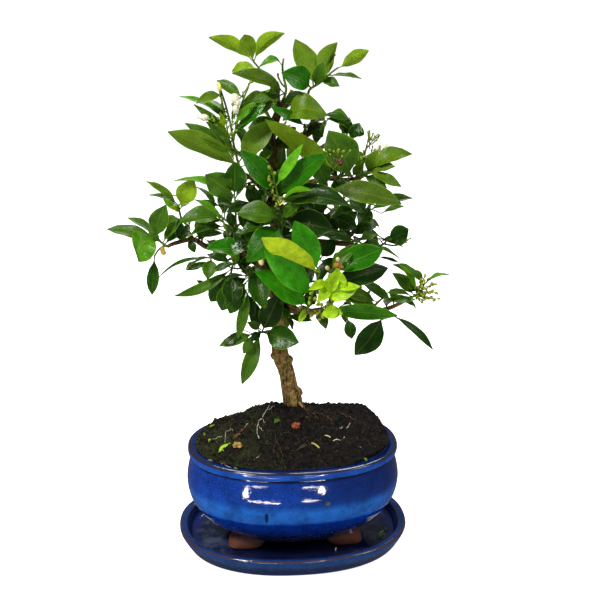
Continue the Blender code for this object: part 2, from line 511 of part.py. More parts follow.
RoundSpray = namedtuple("RoundSpray", "name wood shoot count long turn")
GOLDEN_ANGLE = math.radians(137.5)
ROUND_SPRAYS = [
    RoundSpray("spray_back_top", [(-18, 370, -9), (-17, 384, -20)],
               [(-17, 384, -20), (-16, 398, -27), (-13, 411, -32)], 5, 38, 0.3),
    RoundSpray("spray_back_upper_left", [(-13, 330, -7), (-25, 346, -20)],
               [(-25, 346, -20), (-36, 360, -32), (-43, 374, -42)], 5, 42, 1.1),
    RoundSpray("spray_back_upper_right", [(-15, 350, -8), (0, 358, -22)],
               [(0, 358, -22), (12, 368, -38), (21, 378, -50)], 5, 42, 2.0),
    RoundSpray("spray_back_high", [(-13, 312, -7), (-14, 326, -26), (-12, 338, -38)],
               [(-12, 338, -38), (-8, 350, -54), (-5, 365, -66)], 6, 42, 0.7),
    RoundSpray("spray_back_left", [(-15, 284, -9), (-31, 294, -20), (-45, 305, -34)],
               [(-45, 305, -34), (-58, 314, -48), (-68, 324, -58)], 5, 42, 1.7),
    RoundSpray("spray_back_right", [(-14, 298, -9), (8, 304, -20), (26, 314, -34)],
               [(26, 314, -34), (39, 324, -48), (49, 336, -58)], 6, 42, 2.6),
    RoundSpray("spray_back_middle", [(-15, 264, -11), (-15, 270, -32), (-11, 284, -52)],
               [(-11, 284, -52), (-6, 296, -70), (-2, 308, -88)], 6, 44, 0.2),
    RoundSpray("spray_back_low_left", [(-14, 240, -13), (-26, 250, -24), (-35, 260, -38)],
               [(-35, 260, -38), (-45, 270, -54), (-52, 282, -66)], 5, 40, 3.1),
    RoundSpray("spray_back_low_right", [(-13, 236, -14), (6, 238, -26), (18, 248, -40)],
               [(18, 248, -40), (31, 256, -58), (41, 264, -72)], 5, 40, 1.4),
    RoundSpray("spray_back_low", [(-12, 214, -16), (-14, 226, -30)],
               [(-14, 226, -30), (-13, 238, -46), (-10, 244, -62)], 5, 40, 2.2),
]

BARK = make_material("bark", (0.11, 0.062, 0.032), 0.85)
FOLIAGE = make_material("foliage", (0.045, 0.15, 0.012), 0.38)


def places(route):
    return [seen(*point) for point in route]


def taper(thick, thin, count):
    return [thick + (thin - thick) * step / (count - 1) for step in range(count)]


def set_off(route):
    """Direction in which a route leaves its first point."""
    return (route[1] - route[0]).normalized()


def make_wood():
    """Trunk, buried plug, cut stub and the woody stretch under each spray, joined in one solid."""
    route = [seen(*point) for point, _ in TRUNK]
    foot = seen(*FOOT_OF_TRUNK)
    plug = [Vector((foot.x, foot.y, foot.z - PLUG_DEPTH + SEAT)), Vector((foot.x, foot.y, foot.z))]
    radii = [PLUG_RADIUS * 0.8, PLUG_RADIUS] + [radius for _, radius in TRUNK]
    trunk = make_object("trunk_and_branches", *tube(plug + route, radii, 12), BARK)
    limbs = []
    stub = [seen(*point) for point, _ in STUB]
    limbs.append(make_object("limb", *tube(stub, [radius for _, radius in STUB], 8)))
    for spray in SPRAYS:
        limbs.append(make_limb(spray.wood, spray.thick, spray.shoots[0]))
    for spray in ROUND_SPRAYS:
        limbs.append(make_limb(spray.wood, 2.6, spray.shoot))
    combine(trunk, limbs)
    return trunk


def make_limb(wood, thick, shoot):
    """Woody stretch that a shoot stands on; its end is square to the shoot."""
    route = places(wood)
    radii = taper(thick, SHOOT_RADIUS + 0.3, len(route))
    sides = 6 if thick > THICK_LIMB else 5
    return make_object("limb", *tube(route, radii, sides, end=set_off(places(shoot))))


# Leaves and buds

def blade(base, tip, width, face, arch, bow, grow=0.0):
    """Closed leaf: a stalk and a lens-shaped blade folded along its midrib; grow thickens it for tests."""
    length = (tip - base).length
    way = (tip - base) / length
    tilt = math.radians(face)
    upward = Vector((0.0, -math.sin(tilt), math.cos(tilt)))
    normal = (upward - way * upward.dot(way)).normalized()
    side = way.cross(normal)
    stalk = min(STALK_LONGEST, length * STALK_SHARE) / length
    stations = [(0.0, 0.65, 0.0)]
    if width > STALKED_LEAF:
        stations.append((stalk, 0.75, 0.0))
    outline = PLAIN_OUTLINE
    if width > BROAD_LEAF:
        outline = BROAD_OUTLINE
    if width < SMALL_LEAF:
        outline = SMALL_OUTLINE
    stations += [(stalk + (1.0 - stalk) * share, wide * width / 2.0, 1.0) for share, wide in outline]
    vertices = []
    for share, half, folded in stations:
        hump = 4.0 * share * (1.0 - share)
        middle = base + way * (length * share) + normal * (arch * hump) + side * (bow * hump)
        rise = normal * (half * BLADE_FOLD * folded)
        half_thick = (BLADE_THICKNESS / 2 if folded else 0.6) + grow
        vertices += [middle + side * (half + grow) + rise, middle + normal * half_thick,
                     middle - side * (half + grow) + rise, middle - normal * half_thick]
    vertices.append(tip + way * grow)
    faces = [[0, 1, 2], [0, 2, 3]]
    for level in range(len(stations) - 1):
        low = 4 * level
        high = low + 4
        faces += [[low, high, low + 1], [low + 1, high, high + 1], [low + 1, high + 1, high + 2],
                  [low + 1, high + 2, low + 2], [low + 2, high + 2, low + 3], [low + 3, high + 2, high + 3],
                  [low + 3, high + 3, high], [low + 3, high, low]]
    last = 4 * (len(stations) - 1)
    end = len(vertices) - 1
    faces += [[last + step, end, last + (step + 1) % 4] for step in range(4)]
    return vertices, faces


def spindle(base, tip, radius):
    """Bud on its stalk, as one turned solid."""
    way = tip - base
    shape = [(0.0, 0.6), (0.75, radius), (1.0, radius * 0.4)]
    if radius > SMALL_BUD:
        shape.insert(1, (0.5, 0.6))
    route = [base + way * share for share, _ in shape]
    return tube(route, [size for _, size in shape], 5 if radius > SMALL_BUD else 4)


def along_shoot(route, along):
    """Point on a shoot, counted in its stretches and kept a little short of its end."""
    along = min(along, len(route) - 1.12)
    index = int(along)
    return route[index].lerp(route[index + 1], along - index)


BENDS = (0.0, 7.0, -7.0, 14.0, -14.0, 21.0, -21.0, 30.0, -30.0, 40.0, -40.0, 52.0, -52.0)
TURNS = (0.0, 14.0, -14.0, 28.0, -28.0, 42.0, -42.0, 60.0, -60.0, 80.0, -80.0)


def seen_leaves(spray, routes):
    """For each leaf its base, the tips to try in turn, and its shape; a crowded one bends along the sight."""
    wishes = []
    for item in spray.leaves:
        base = along_shoot(routes[item.on], item.along)
        across, up, toward = item.tip
        tips = [seen(across, up, toward + bend) for bend in BENDS]
        wishes.append((base, tips, item.width, item.face, item.arch, item.bow))
    return wishes


def round_leaves(spray, route):
    """Leaves round a hidden shoot, the last reaching on past its end; a crowded leaf turns round the shoot."""
    wishes = []
    for number in range(spray.count):
        share = (number + 1.0) / spray.count
        base = along_shoot(route, share * (len(route) - 1))
        way = (route[-1] - route[0]).normalized()
        spread = math.radians(70.0 - 40.0 * share)
        out = way.orthogonal().normalized()
        out.rotate(Matrix.Rotation(spray.turn + number * GOLDEN_ANGLE, 3, way))
        long = spray.long * (0.86 + 0.14 * math.cos(2.3 * number))
        tips = []
        for turn in TURNS:
            heading = way * math.cos(spread) + out * math.sin(spread)
            heading.rotate(Matrix.Rotation(math.radians(turn), 3, way))
            tips.append(base + heading * long)
        wishes.append((base, tips, long * 0.42, 0.0, 3.0, 0.0))
    return wishes


def tree_of(shape):
    return BVHTree.FromPolygons(shape[0], shape[1])


def object_tree(thing):
    thing.data.calc_loop_triangles()
    points = [vertex.co / MM for vertex in thing.data.vertices]
    return BVHTree.FromPolygons(points, [tuple(face.vertices) for face in thing.data.loop_triangles])


def make_sprays(obstacles):
    """Build the shoots first, then set each leaf where it clears every other node, and join each spray."""
    jobs = []
    for spray in SPRAYS:
        routes = [places(route) for route in spray.shoots]
        jobs.append((spray.name, routes, seen_leaves(spray, routes), spray.buds))
    for spray in ROUND_SPRAYS:
        routes = [places(spray.shoot)]
        jobs.append((spray.name, routes, round_leaves(spray, routes[0]), []))
    solids = {}
    trees = {}
    for name, routes, _, buds in jobs:
        main = routes[0]
        seated = [main[0] + set_off(main) * SEAT] + main[1:]
        shoots = [tube(seated, taper(SHOOT_RADIUS, 0.85, len(main)), 4, start=set_off(main))]
        shoots += [tube(route, taper(0.9, 0.7, len(route)), 4) for route in routes[1:]]
        shoots += [spindle(along_shoot(routes[item.on], item.along), seen(*item.tip), item.radius)
                   for item in buds]
        solids[name] = shoots
        trees[name] = [tree_of(shape) for shape in shoots]
    for name, _, wishes, _ in jobs:
        for base, tips, width, face, arch, bow in wishes:
            others = obstacles + [tree for other in trees if other != name for tree in trees[other]]
            for tip in tips:
                trial = tree_of(blade(base, tip, width, face, arch, bow, CLEARANCE))
                if not any(trial.overlap(other) for other in others):
                    shape = blade(base, tip, width, face, arch, bow)
                    solids[name].append(shape)
                    trees[name].append(tree_of(shape))
                    break
            else:
                print("LEAF LEFT OUT", name, tuple(round(c) for c in tips[0]))
    for name, shapes in solids.items():
        stem = make_object(name, *shapes[0], FOLIAGE)
        combine(stem, [make_object("piece", *shape) for shape in shapes[1:]])


# Litter that lies on the soil

def lay_on(tree, vertices):
    """Lower or lift a small thing until it lies a seat's width off the soil."""
    drop = OVERHEAD
    for vertex in vertices:
        hit = tree.ray_cast(Vector((vertex.x, vertex.y, OVERHEAD)), Vector((0.0, 0.0, -1.0)))[0]
        drop = min(drop, vertex.z - hit.z)
    return [vertex + Vector((0.0, 0.0, SEAT - drop)) for vertex in vertices]


def make_litter(soil_tree):
    def crumb(name, place, radii, material):
        rings = []
        for level, share in enumerate((0.45, 0.95, 1.0, 0.4)):
            ring = []
            for step in range(7):
                angle = 2.0 * math.pi * step / 7 + 0.4 * level
                rough = 1.0 + 0.14 * math.sin(3.1 * step + 1.7 * level)
                ring.append(Vector((place[0] + radii[0] * share * rough * math.cos(angle),
                                    place[1] + radii[1] * share * rough * math.sin(angle),
                                    SOIL_CREST + radii[2] * (0.0, 0.45, 1.1, 1.8)[level])))
            rings.append(ring)
        vertices, faces = loft(rings)
        return make_object(name, lay_on(soil_tree, vertices), faces, material)

    def leaflet(name, base, tip, width, material):
        ends = []
        for across, back in (base, tip):
            hit = soil_tree.ray_cast(Vector((across, back, OVERHEAD)), Vector((0.0, 0.0, -1.0)))[0]
            ends.append(hit)
        vertices, faces = blade(ends[0], ends[1], width, 15.0, 1.2, 0.0)
        return make_object(name, lay_on(soil_tree, vertices), faces, material)

    crumb("clay_crumb", (1.4, -16.5), (3.8, 3.4, 3.6), make_material("fired_clay", (0.30, 0.09, 0.04), 0.9))
    crumb("bark_chip", (-53.5, -27.0), (3.6, 2.2, 1.2), make_material("dry_chip", (0.33, 0.22, 0.07), 0.8))
    lime = make_material("lime_leaflet", (0.42, 0.55, 0.06), 0.5)
    leaflet("lime_leaflet", (-59.5, -18.3), (-70.5, -28.5), 4.2, lime)
    green = make_material("green_leaflet", (0.09, 0.24, 0.05), 0.5)
    leaflet("fallen_leaflet", (-10.5, -4.5), (-18.0, -11.5), 5.0, green)
    twig_ends = [(14.6, -34.6), (20.9, -39.8)]
    twig = []
    for across, back in twig_ends:
        twig.append(soil_tree.ray_cast(Vector((across, back, OVERHEAD)), Vector((0.0, 0.0, -1.0)))[0])
    vertices, faces = tube(twig, [0.8, 0.6], 5)
    dry = make_material("dry_twig", (0.45, 0.36, 0.14), 0.8)
    make_object("fallen_twig", lay_on(soil_tree, vertices), faces, dry)


saucer = make_saucer()
pot = make_pot()
soil = make_soil()
wood = make_wood()
soil_tree = object_tree(soil)
make_litter(soil_tree)
make_sprays([object_tree(thing) for thing in (saucer, pot, soil, wood)])
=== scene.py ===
import math
import random
from collections import namedtuple

import bmesh
import bpy
from mathutils import Matrix, Vector, noise
from mathutils.kdtree import KDTree


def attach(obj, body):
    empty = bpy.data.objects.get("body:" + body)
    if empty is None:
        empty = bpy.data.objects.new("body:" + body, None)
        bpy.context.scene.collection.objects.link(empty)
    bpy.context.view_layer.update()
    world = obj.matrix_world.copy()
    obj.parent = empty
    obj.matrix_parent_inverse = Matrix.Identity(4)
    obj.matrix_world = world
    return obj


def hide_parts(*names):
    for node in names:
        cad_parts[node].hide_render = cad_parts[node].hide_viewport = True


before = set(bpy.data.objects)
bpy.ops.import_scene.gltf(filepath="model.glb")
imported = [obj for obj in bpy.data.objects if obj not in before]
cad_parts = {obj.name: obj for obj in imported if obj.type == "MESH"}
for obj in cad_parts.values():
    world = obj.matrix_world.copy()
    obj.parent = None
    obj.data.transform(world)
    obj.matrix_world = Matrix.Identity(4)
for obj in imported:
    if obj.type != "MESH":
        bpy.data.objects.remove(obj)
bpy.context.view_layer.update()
MM = 0.001

# Camera, floor and studio light.  The tree stands on a seamless pale sheet in a soft, bright room.  The
# camera looks down on it from a little left of the front, as in the photograph.

CAMERA_PLACE = Vector((-85.4, -995.7, 560.0)) * MM
CAMERA_TURN = math.radians(5.3)
CAMERA_DIP = math.radians(17.8)
PHOTO_WIDTH = 600
FOCAL_PIXELS = 1156.5
SENSOR = 36.0
FLOOR_REACH = 14.0
FLOOR_CORNERS = ((-1, -1), (1, -1), (1, 1), (-1, 1))
PAPER_GRAIN = 900.0
PAPER_ROUGHNESS = 0.7
WHITE_LIGHT = (1.0, 1.0, 1.0, 1.0)
ROOM_LIGHT = 0.25
ROOM_MIRRORED = 0.1
SHEET_GLOW = 0.88
LAMP_TINT = (1.0, 0.97, 0.9)
SOFT_BOXES = [  # name, place, what it aims at, width, height, power
    ("soft_box_left", (-0.9, -0.9, 1.6), (0.0, 0.0, 0.25), 0.4, 0.4, 37.0),
    ("soft_box_right", (1.3, -0.7, 1.2), (0.0, 0.0, 0.25), 0.5, 0.8, 9.0),
    ("soft_box_behind", (0.2, 1.2, 1.6), (0.0, 0.0, 0.35), 1.0, 0.8, 20.0)]
MIX_SHARE, MIX_FIRST, MIX_SECOND, MIX_RESULT = 0, 6, 7, 2  # sockets of a mix of two colours


def look_along(thing, place, forward):
    thing.matrix_world = Matrix.Translation(place) @ forward.to_track_quat("-Z", "Y").to_matrix().to_4x4()


lens = bpy.data.cameras.new("camera")
lens.sensor_width = SENSOR
lens.lens = SENSOR * FOCAL_PIXELS / PHOTO_WIDTH
camera = bpy.data.objects.new("camera", lens)
bpy.context.scene.collection.objects.link(camera)
bpy.context.scene.camera = camera
ahead = Vector((math.sin(CAMERA_TURN) * math.cos(CAMERA_DIP), math.cos(CAMERA_TURN) * math.cos(CAMERA_DIP),
                -math.sin(CAMERA_DIP)))
look_along(camera, CAMERA_PLACE, ahead)


class Sums:
    """Writes a node tree as plain sums: each call adds one node and gives back its output."""

    def __init__(self, tree):
        self.tree = tree

    def node(self, kind, inputs=(), output=0, **settings):
        made = self.tree.nodes.new(kind)
        for key, value in settings.items():
            setattr(made, key, value)
        for key, value in dict(inputs).items():
            self.feed(made.inputs[key], value)
        return made.outputs[output]

    def feed(self, socket, value):
        if isinstance(value, bpy.types.NodeSocket):
            self.tree.links.new(value, socket)
        else:
            socket.default_value = value

    def sum(self, operation, *terms, clamp=False):
        return self.node("ShaderNodeMath", dict(enumerate(terms)), operation=operation, use_clamp=clamp)

    def plus(self, *terms):
        return self.sum("ADD", *terms)

    def minus(self, *terms):
        return self.sum("SUBTRACT", *terms)

    def times(self, *terms, clamp=False):
        return self.sum("MULTIPLY", *terms, clamp=clamp)

    def over(self, *terms, clamp=False):
        return self.sum("DIVIDE", *terms, clamp=clamp)

    def times_plus(self, value, factor, offset):
        return self.sum("MULTIPLY_ADD", value, factor, offset)

    def vector(self, operation, *terms):
        output = "Value" if operation == "LENGTH" else "Vector"
        return self.node("ShaderNodeVectorMath", dict(enumerate(terms)), output, operation=operation)

    def scaled(self, vector, factor):
        return self.node("ShaderNodeVectorMath", {0: vector, "Scale": factor}, operation="SCALE")

    def split(self, vector):
        made = self.tree.nodes.new("ShaderNodeSeparateXYZ")
        self.feed(made.inputs[0], vector)
        return made.outputs

    def joined(self, x, y, z):
        return self.node("ShaderNodeCombineXYZ", {0: x, 1: y, 2: z})

    def ramp(self, value, low, high, to_low=0.0, to_high=1.0):
        """Smooth step from one value to another while the first goes from low to high."""
        return self.node("ShaderNodeMapRange", {"Value": value, "From Min": low, "From Max": high,
                                                "To Min": to_low, "To Max": to_high},
                         interpolation_type="SMOOTHSTEP")

    def band(self, value, start, full, fade, end):
        """One between two smooth edges and zero outside them."""
        return self.times(self.ramp(value, start, full), self.ramp(value, end, fade))

    def between(self, share, first, second):
        """Number that goes from the first to the second with the share."""
        return self.node("ShaderNodeMix", {0: share, 2: first, 3: second})

    def mix(self, share, first, second):
        made = self.tree.nodes.new("ShaderNodeMix")
        made.data_type = "RGBA"
        self.feed(made.inputs[MIX_SHARE], share)
        self.feed(made.inputs[MIX_FIRST], first)
        self.feed(made.inputs[MIX_SECOND], second)
        return made.outputs[MIX_RESULT]

    def laid(self, colour, over, share, most):
        """Colour with another one laid over it where the share is high, at most so strongly."""
        return self.mix(self.times(share, most), colour, over)

    def object_place(self):
        return self.node("ShaderNodeTexCoord", output="Object")

    def noise(self, vector, scale, detail=3.0, roughness=0.55):
        return self.node("ShaderNodeTexNoise", {"Vector": vector, "Scale": scale, "Detail": detail,
                                                "Roughness": roughness})

    def random(self, low, high, seed=0):
        return self.node("FunctionNodeRandomValue", {2: low, 3: high, "Seed": seed}, 1, data_type="FLOAT")

    def together(self, *shapes):
        whole = self.tree.nodes.new("GeometryNodeJoinGeometry")
        for shape in shapes:
            self.tree.links.new(shape, whole.inputs[0])
        return whole.outputs[0]

    def painted(self, shape, material):
        return self.node("GeometryNodeSetMaterial", {"Geometry": shape, "Material": material})

    def finish(self, result, shape, material):
        """End of a tree: copies made real, and their material set."""
        self.feed(result, self.painted(self.node("GeometryNodeRealizeInstances", {0: shape}), material))

    def wander(self, vector, scale, reach):
        """Noise that strays to either side of zero."""
        return self.times(self.minus(self.noise(vector, scale), 0.5), reach)


def rgb(red, green, blue):
    """Colour as it looks on a screen, 0 to 255, turned into light."""
    return tuple(((c / 255.0) / 12.92 if c <= 10 else ((c / 255.0 + 0.055) / 1.055) ** 2.4)
                 for c in (red, green, blue)) + (1.0,)


def new_material(name):
    material = bpy.data.materials.new(name)
    material.use_nodes = True
    shader = material.node_tree.nodes["Principled BSDF"]
    return material, Sums(material.node_tree), shader


def relief(sums, shader, height, depth):
    """Bump of the given depth in metres."""
    bump = sums.node("ShaderNodeBump", {"Height": height, "Distance": depth})
    sums.feed(shader.inputs["Normal"], bump)


def place_in_scene(name, mesh, *materials):
    thing = bpy.data.objects.new(name, mesh)
    bpy.context.scene.collection.objects.link(thing)
    for material in materials:
        mesh.materials.append(material)
    return thing


floor_mesh = bpy.data.meshes.new("floor")
corners = [(x * FLOOR_REACH, y * FLOOR_REACH, 0.0) for x, y in FLOOR_CORNERS]
floor_mesh.from_pydata(corners, [], [(0, 1, 2, 3)])
paper, sums, shader = new_material("pale_sheet")
speckle = sums.noise(sums.object_place(), PAPER_GRAIN)
sums.feed(shader.inputs["Base Color"], sums.mix(speckle, (0.93, 0.93, 0.93, 1.0), (0.97, 0.97, 0.97, 1.0)))
shader.inputs["Roughness"].default_value = PAPER_ROUGHNESS
shader.inputs["Emission Color"].default_value = WHITE_LIGHT
seen_itself = sums.node("ShaderNodeLightPath", output="Is Camera Ray")
sums.feed(shader.inputs["Emission Strength"], sums.times(seen_itself, SHEET_GLOW))
floor = place_in_scene("floor", floor_mesh, paper)
floor.visible_glossy = False

room = bpy.data.worlds.new("room")
room.use_nodes = True
sums = Sums(room.node_tree)
seen_itself = sums.node("ShaderNodeLightPath", output="Is Camera Ray")
mirrored = sums.node("ShaderNodeLightPath", output="Is Glossy Ray")
strength = sums.between(seen_itself, sums.between(mirrored, ROOM_LIGHT, ROOM_MIRRORED), 1.0)
room.node_tree.nodes["Background"].inputs["Color"].default_value = WHITE_LIGHT
sums.feed(room.node_tree.nodes["Background"].inputs["Strength"], strength)
bpy.context.scene.world = room
bpy.context.scene.view_settings.view_transform = "Standard"


def soft_box(name, place, aim, width, height, power):
    lamp = bpy.data.lights.new(name, "AREA")
    lamp.shape = "RECTANGLE"
    lamp.size = width
    lamp.size_y = height
    lamp.energy = power
    lamp.color = LAMP_TINT
    box = bpy.data.objects.new(name, lamp)
    bpy.context.scene.collection.objects.link(box)
    look_along(box, Vector(place), (Vector(aim) - Vector(place)).normalized())
    return box


for facts in SOFT_BOXES:
    soft_box(*facts)

# Strip lights low in front, which the full belly of the pot mirrors as a bright outline
STRIP_FRONT = -173.0
STRIP_GLOW = 80.0
STRIP_SPREAD = math.radians(110.0)
STRIPS = [  # name, place across and up, width, height
    ("left", -117, 75, 15, 30), ("right", 51, 84, 12, 13), ("low_left", -68, 50, 84, 2.6),
    ("low_right", 28, 55, 31, 2), ("high_left", -88, 99.5, 64, 2.3), ("high_right", 33, 93.5, 38, 1.6)]
for name, across, up, wide, tall in STRIPS:
    place = Vector((across, STRIP_FRONT, up)) * MM
    strip = soft_box("strip_" + name, place, place + Vector((0.0, 1.0, 0.0)), wide * MM, tall * MM,
                     STRIP_GLOW * wide * tall * MM * MM)
    strip.data.spread = STRIP_SPREAD
    strip.visible_camera = False
    strip.visible_diffuse = False

# Saucer.  One oval dish of stoneware, pressed in a mould and dipped in blue glaze, which runs thin and brown
# over the edges of its rim.  Inside it is almost black, with a painted reflection of the room near both ends.

OVAL_POWER = 2.25
ROUND_STEPS = 144
CREASE = math.radians(50.0)
GLAZE_ROUGHNESS = 0.08
GLAZE_COAT = 0.25
COAT_ROUGHNESS = 0.04
RIPPLE_DEPTH = 0.00015
SAUCER_HALF = (108.6, 84.0)
SAUCER_FLOOR = 6.0
SAUCER_TOP = 19.5
SAUCER_PROFILE = [  # how far inside the oval at its ends and sides, height
    (12.6, 10, 0), (11.2, 9, 0.3), (8, 6.5, 2.5), (2.6, 2.4, 11), (0.2, 0.2, 16.4), (0.5, 0.5, 18.6),
    (2, 2, SAUCER_TOP), (5, 4.6, 19.3), (7.6, 7, 17.9), (9.2, 8.6, 12.5), (11, 10, 8.6),
    (14, 13, SAUCER_FLOOR + 0.8), (19, 18, SAUCER_FLOOR)]


def oval(half_length, half_depth, height, steps=ROUND_STEPS, fullness=2.0 / OVAL_POWER):
    """Ring of a rounded oval, fuller at its ends than an ellipse; a fullness of 1 is the ellipse itself."""
    ring = []
    for step in range(steps):
        angle = 2.0 * math.pi * step / steps
        across = math.copysign(abs(math.cos(angle)) ** fullness, math.cos(angle))
        deep = math.copysign(abs(math.sin(angle)) ** fullness, math.sin(angle))
        ring.append(Vector((half_length * across, half_depth * deep, height)))
    return ring


def flowing(points, per_span):
    """Points along a smooth curve that passes through all the given ones."""
    points = [Vector(point) for point in points]
    path = []
    for index in range(len(points) - 1):
        before = points[max(index - 1, 0)]
        start, end = points[index], points[index + 1]
        after = points[min(index + 2, len(points) - 1)]
        for step in range(per_span):
            t = step / per_span
            path.append(0.5 * (2.0 * start + (end - before) * t
                               + (2.0 * before - 5.0 * start + 4.0 * end - after) * t * t
                               + (3.0 * start - before - 3.0 * end + after) * t * t * t))
    path.append(points[-1])
    return path


def loft(name, rings):
    """Closed smooth solid through rings of equal count, in millimetres, flat at both ends."""
    count = len(rings[0])
    vertices = [tuple(point * MM) for ring in rings for point in ring]
    faces = [list(range(count))[::-1]]
    for level in range(len(rings) - 1):
        low, high = level * count, (level + 1) * count
        faces += [[low + step, low + (step + 1) % count, high + (step + 1) % count, high + step]
                  for step in range(count)]
    faces.append([(len(rings) - 1) * count + step for step in range(count)])
    mesh = bpy.data.meshes.new(name)
    mesh.from_pydata(vertices, [], faces)
    mesh.shade_smooth()
    mesh.set_sharp_from_angle(angle=CREASE)
    return mesh


def oval_loft(name, half, profile, per_span):
    """Solid turned on the oval; the profile holds how far inside the oval each ring lies, and its height."""
    return loft(name, [oval(half[0] - end, half[1] - side, height)
                       for end, side, height in flowing(profile, per_span)])


def oval_reach(sums, place, half):
    """How far out a point lies, 1 on the piece's widest oval."""
    parts = [sums.sum("POWER", sums.sum("ABSOLUTE", sums.over(axis, size * MM)), OVAL_POWER)
             for axis, size in zip(sums.split(place), half)]
    return sums.sum("POWER", sums.plus(*parts), 1.0 / OVAL_POWER)


def glaze(name, bands, wobble):
    """Blue glaze: coloured by height in soft bands that wobble, mottled, with fine specks under the gloss."""
    material, sums, shader = new_material(name)
    place = sums.object_place()
    height = sums.split(place)[2]
    level = sums.plus(height, sums.wander(place, 45.0, wobble * MM))
    top = bands[-1][0] * MM
    ramp = sums.tree.nodes.new("ShaderNodeValToRGB")
    for index, (at, colour) in enumerate(bands):
        stop = ramp.color_ramp.elements[index] if index < 2 else ramp.color_ramp.elements.new(1.0)
        stop.position = at * MM / top
        stop.color = colour
    sums.feed(ramp.inputs[0], sums.over(level, top))
    cloud = sums.ramp(sums.noise(place, 75.0, 5.0, 0.65), 0.35, 0.7)
    colour = sums.laid(ramp.outputs[0], rgb(3, 20, 78), cloud, 0.55)
    grain = sums.ramp(sums.noise(place, 900.0, 2.0), 0.5, 0.72)
    colour = sums.laid(colour, rgb(70, 130, 200), grain, 0.16)
    pits = sums.ramp(sums.noise(place, 620.0, 2.0), 0.66, 0.74)
    colour = sums.laid(colour, rgb(6, 14, 50), pits, 0.5)
    shader.inputs["Roughness"].default_value = GLAZE_ROUGHNESS
    shader.inputs["Coat Weight"].default_value = GLAZE_COAT
    shader.inputs["Coat Roughness"].default_value = COAT_ROUGHNESS
    relief(sums, shader, sums.noise(place, 260.0, 2.0), RIPPLE_DEPTH)
    return material, sums, shader, place, height, colour


SAUCER_BANDS = [  # height, colour
    (0, rgb(30, 36, 58)), (6, rgb(22, 28, 52)), (8.4, rgb(28, 42, 74)), (12.6, rgb(34, 66, 112)),
    (17, rgb(22, 60, 126)), (SAUCER_TOP + 1, rgb(22, 48, 104))]
material, sums, shader, place, height, colour = glaze("saucer_glaze", SAUCER_BANDS, 3.0)
reach = oval_reach(sums, place, SAUCER_HALF)
inside = sums.ramp(reach, 0.945, 0.915)
# Inside the rim: almost black further in, under the pot, and bluer near the wall.  The grey patches towards
# both ends are a painted reflection of the room on the glaze.
painted_room_reflection = sums.times(sums.ramp(sums.noise(place, 60.0, 4.0, 0.6), 0.42, 0.68),
                  sums.ramp(sums.sum("ABSOLUTE", sums.split(place)[0]), 0.045, 0.08, 0.06, 1.0))
inside_and_reflection = sums.mix(painted_room_reflection, rgb(8, 16, 52), rgb(66, 78, 108))
inside_and_reflection = sums.mix(sums.ramp(reach, 0.8, 0.9), inside_and_reflection, rgb(10, 34, 104))
colour = sums.laid(colour, inside_and_reflection, inside, 0.94)
worn = sums.plus(reach, sums.wander(place, 130.0, 0.012))
edges = sums.plus(sums.band(worn, 0.978, 0.986, 0.999, 1.006), sums.band(worn, 0.912, 0.922, 0.93, 0.94))
edges = sums.times(edges, sums.ramp(height, 0.0172, 0.0184), clamp=True)
colour = sums.laid(colour, rgb(62, 46, 40), edges, 0.85)
sums.feed(shader.inputs["Base Color"], colour)

saucer = place_in_scene("glazed_saucer", oval_loft("glazed_saucer", SAUCER_HALF, SAUCER_PROFILE, 7), material)
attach(saucer, "root")
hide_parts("saucer")

# Pot.  One piece of stoneware with a rolled rim over a neck groove, a full belly that narrows to its foot,
# two drain holes and four low feet.  It was dipped in blue glaze down to the feet, which show the red clay.

POT_HALF = (100.0, 73.5)
POT_TOP = 100.0
POT_UNDERSIDE = 16.5
POT_FLOOR = 22.5
SEAT = 0.3
POT_OUTER = [  # how far inside the oval at its ends and sides, height
    (38, 31.5, POT_UNDERSIDE), (32, 27.5, 19), (23.5, 20.5, 26), (14, 12.5, 34), (6.5, 6, 44), (2, 2, 54),
    (0, 0, 66), (0.9, 0.9, 76), (3.4, 3.4, 86.5), (4.9, 4.9, 90.6), (4.7, 4.7, 91.8), (2.4, 2.4, 93),
    (1.4, 1.6, 95.5), (1.5, 1.8, 98.2), (2.6, 2.7, 99.5), (4.6, 4.7, POT_TOP), (8, 8.4, POT_TOP - 0.1)]
POT_INNER = [
    (9.7, 10.2, 99.3), (10.7, 11.2, 97.5), (7, 7, 70), (12, 12, 44), (27, 24, 28.5), (37, 33, POT_FLOOR)]
FOOT_CENTRE = (47.0, 27.0)
FOOT_HALF_SIZE = (18.5, 12.0)
FOOT_LEVELS = [  # share of its full size, share of its distance from the middle, height
    (0.60, 1, SAUCER_FLOOR + SEAT), (0.74, 1, SAUCER_FLOOR + 0.9), (0.88, 1, SAUCER_FLOOR + 3),
    (0.97, 0.94, POT_UNDERSIDE - 2), (0.85, 0.84, POT_UNDERSIDE + 3.5)]
FOOT_STEPS = 32
FOOT_FULLNESS = 0.7
DRAIN_RADIUS = 7.0
DRAIN_OFFSET = 22.0
DRAIN_STEPS = 36
CLAY_ROUGHNESS = 0.83


def joined_solid(thing, tools, operation):
    """Join the tools to a solid, or cut them from it, and keep the result as its mesh."""
    group = bpy.data.collections.new("tools")
    bpy.context.scene.collection.children.link(group)
    for tool in tools:
        group.objects.link(tool)
    modifier = thing.modifiers.new("join", "BOOLEAN")
    modifier.operand_type = "COLLECTION"
    modifier.collection = group
    modifier.operation = operation
    modifier.solver = "EXACT"
    result = bpy.data.meshes.new_from_object(thing.evaluated_get(bpy.context.evaluated_depsgraph_get()))
    thing.modifiers.clear()
    thing.data = result
    for tool in tools:
        bpy.data.objects.remove(tool, do_unlink=True)
    bpy.data.collections.remove(group)


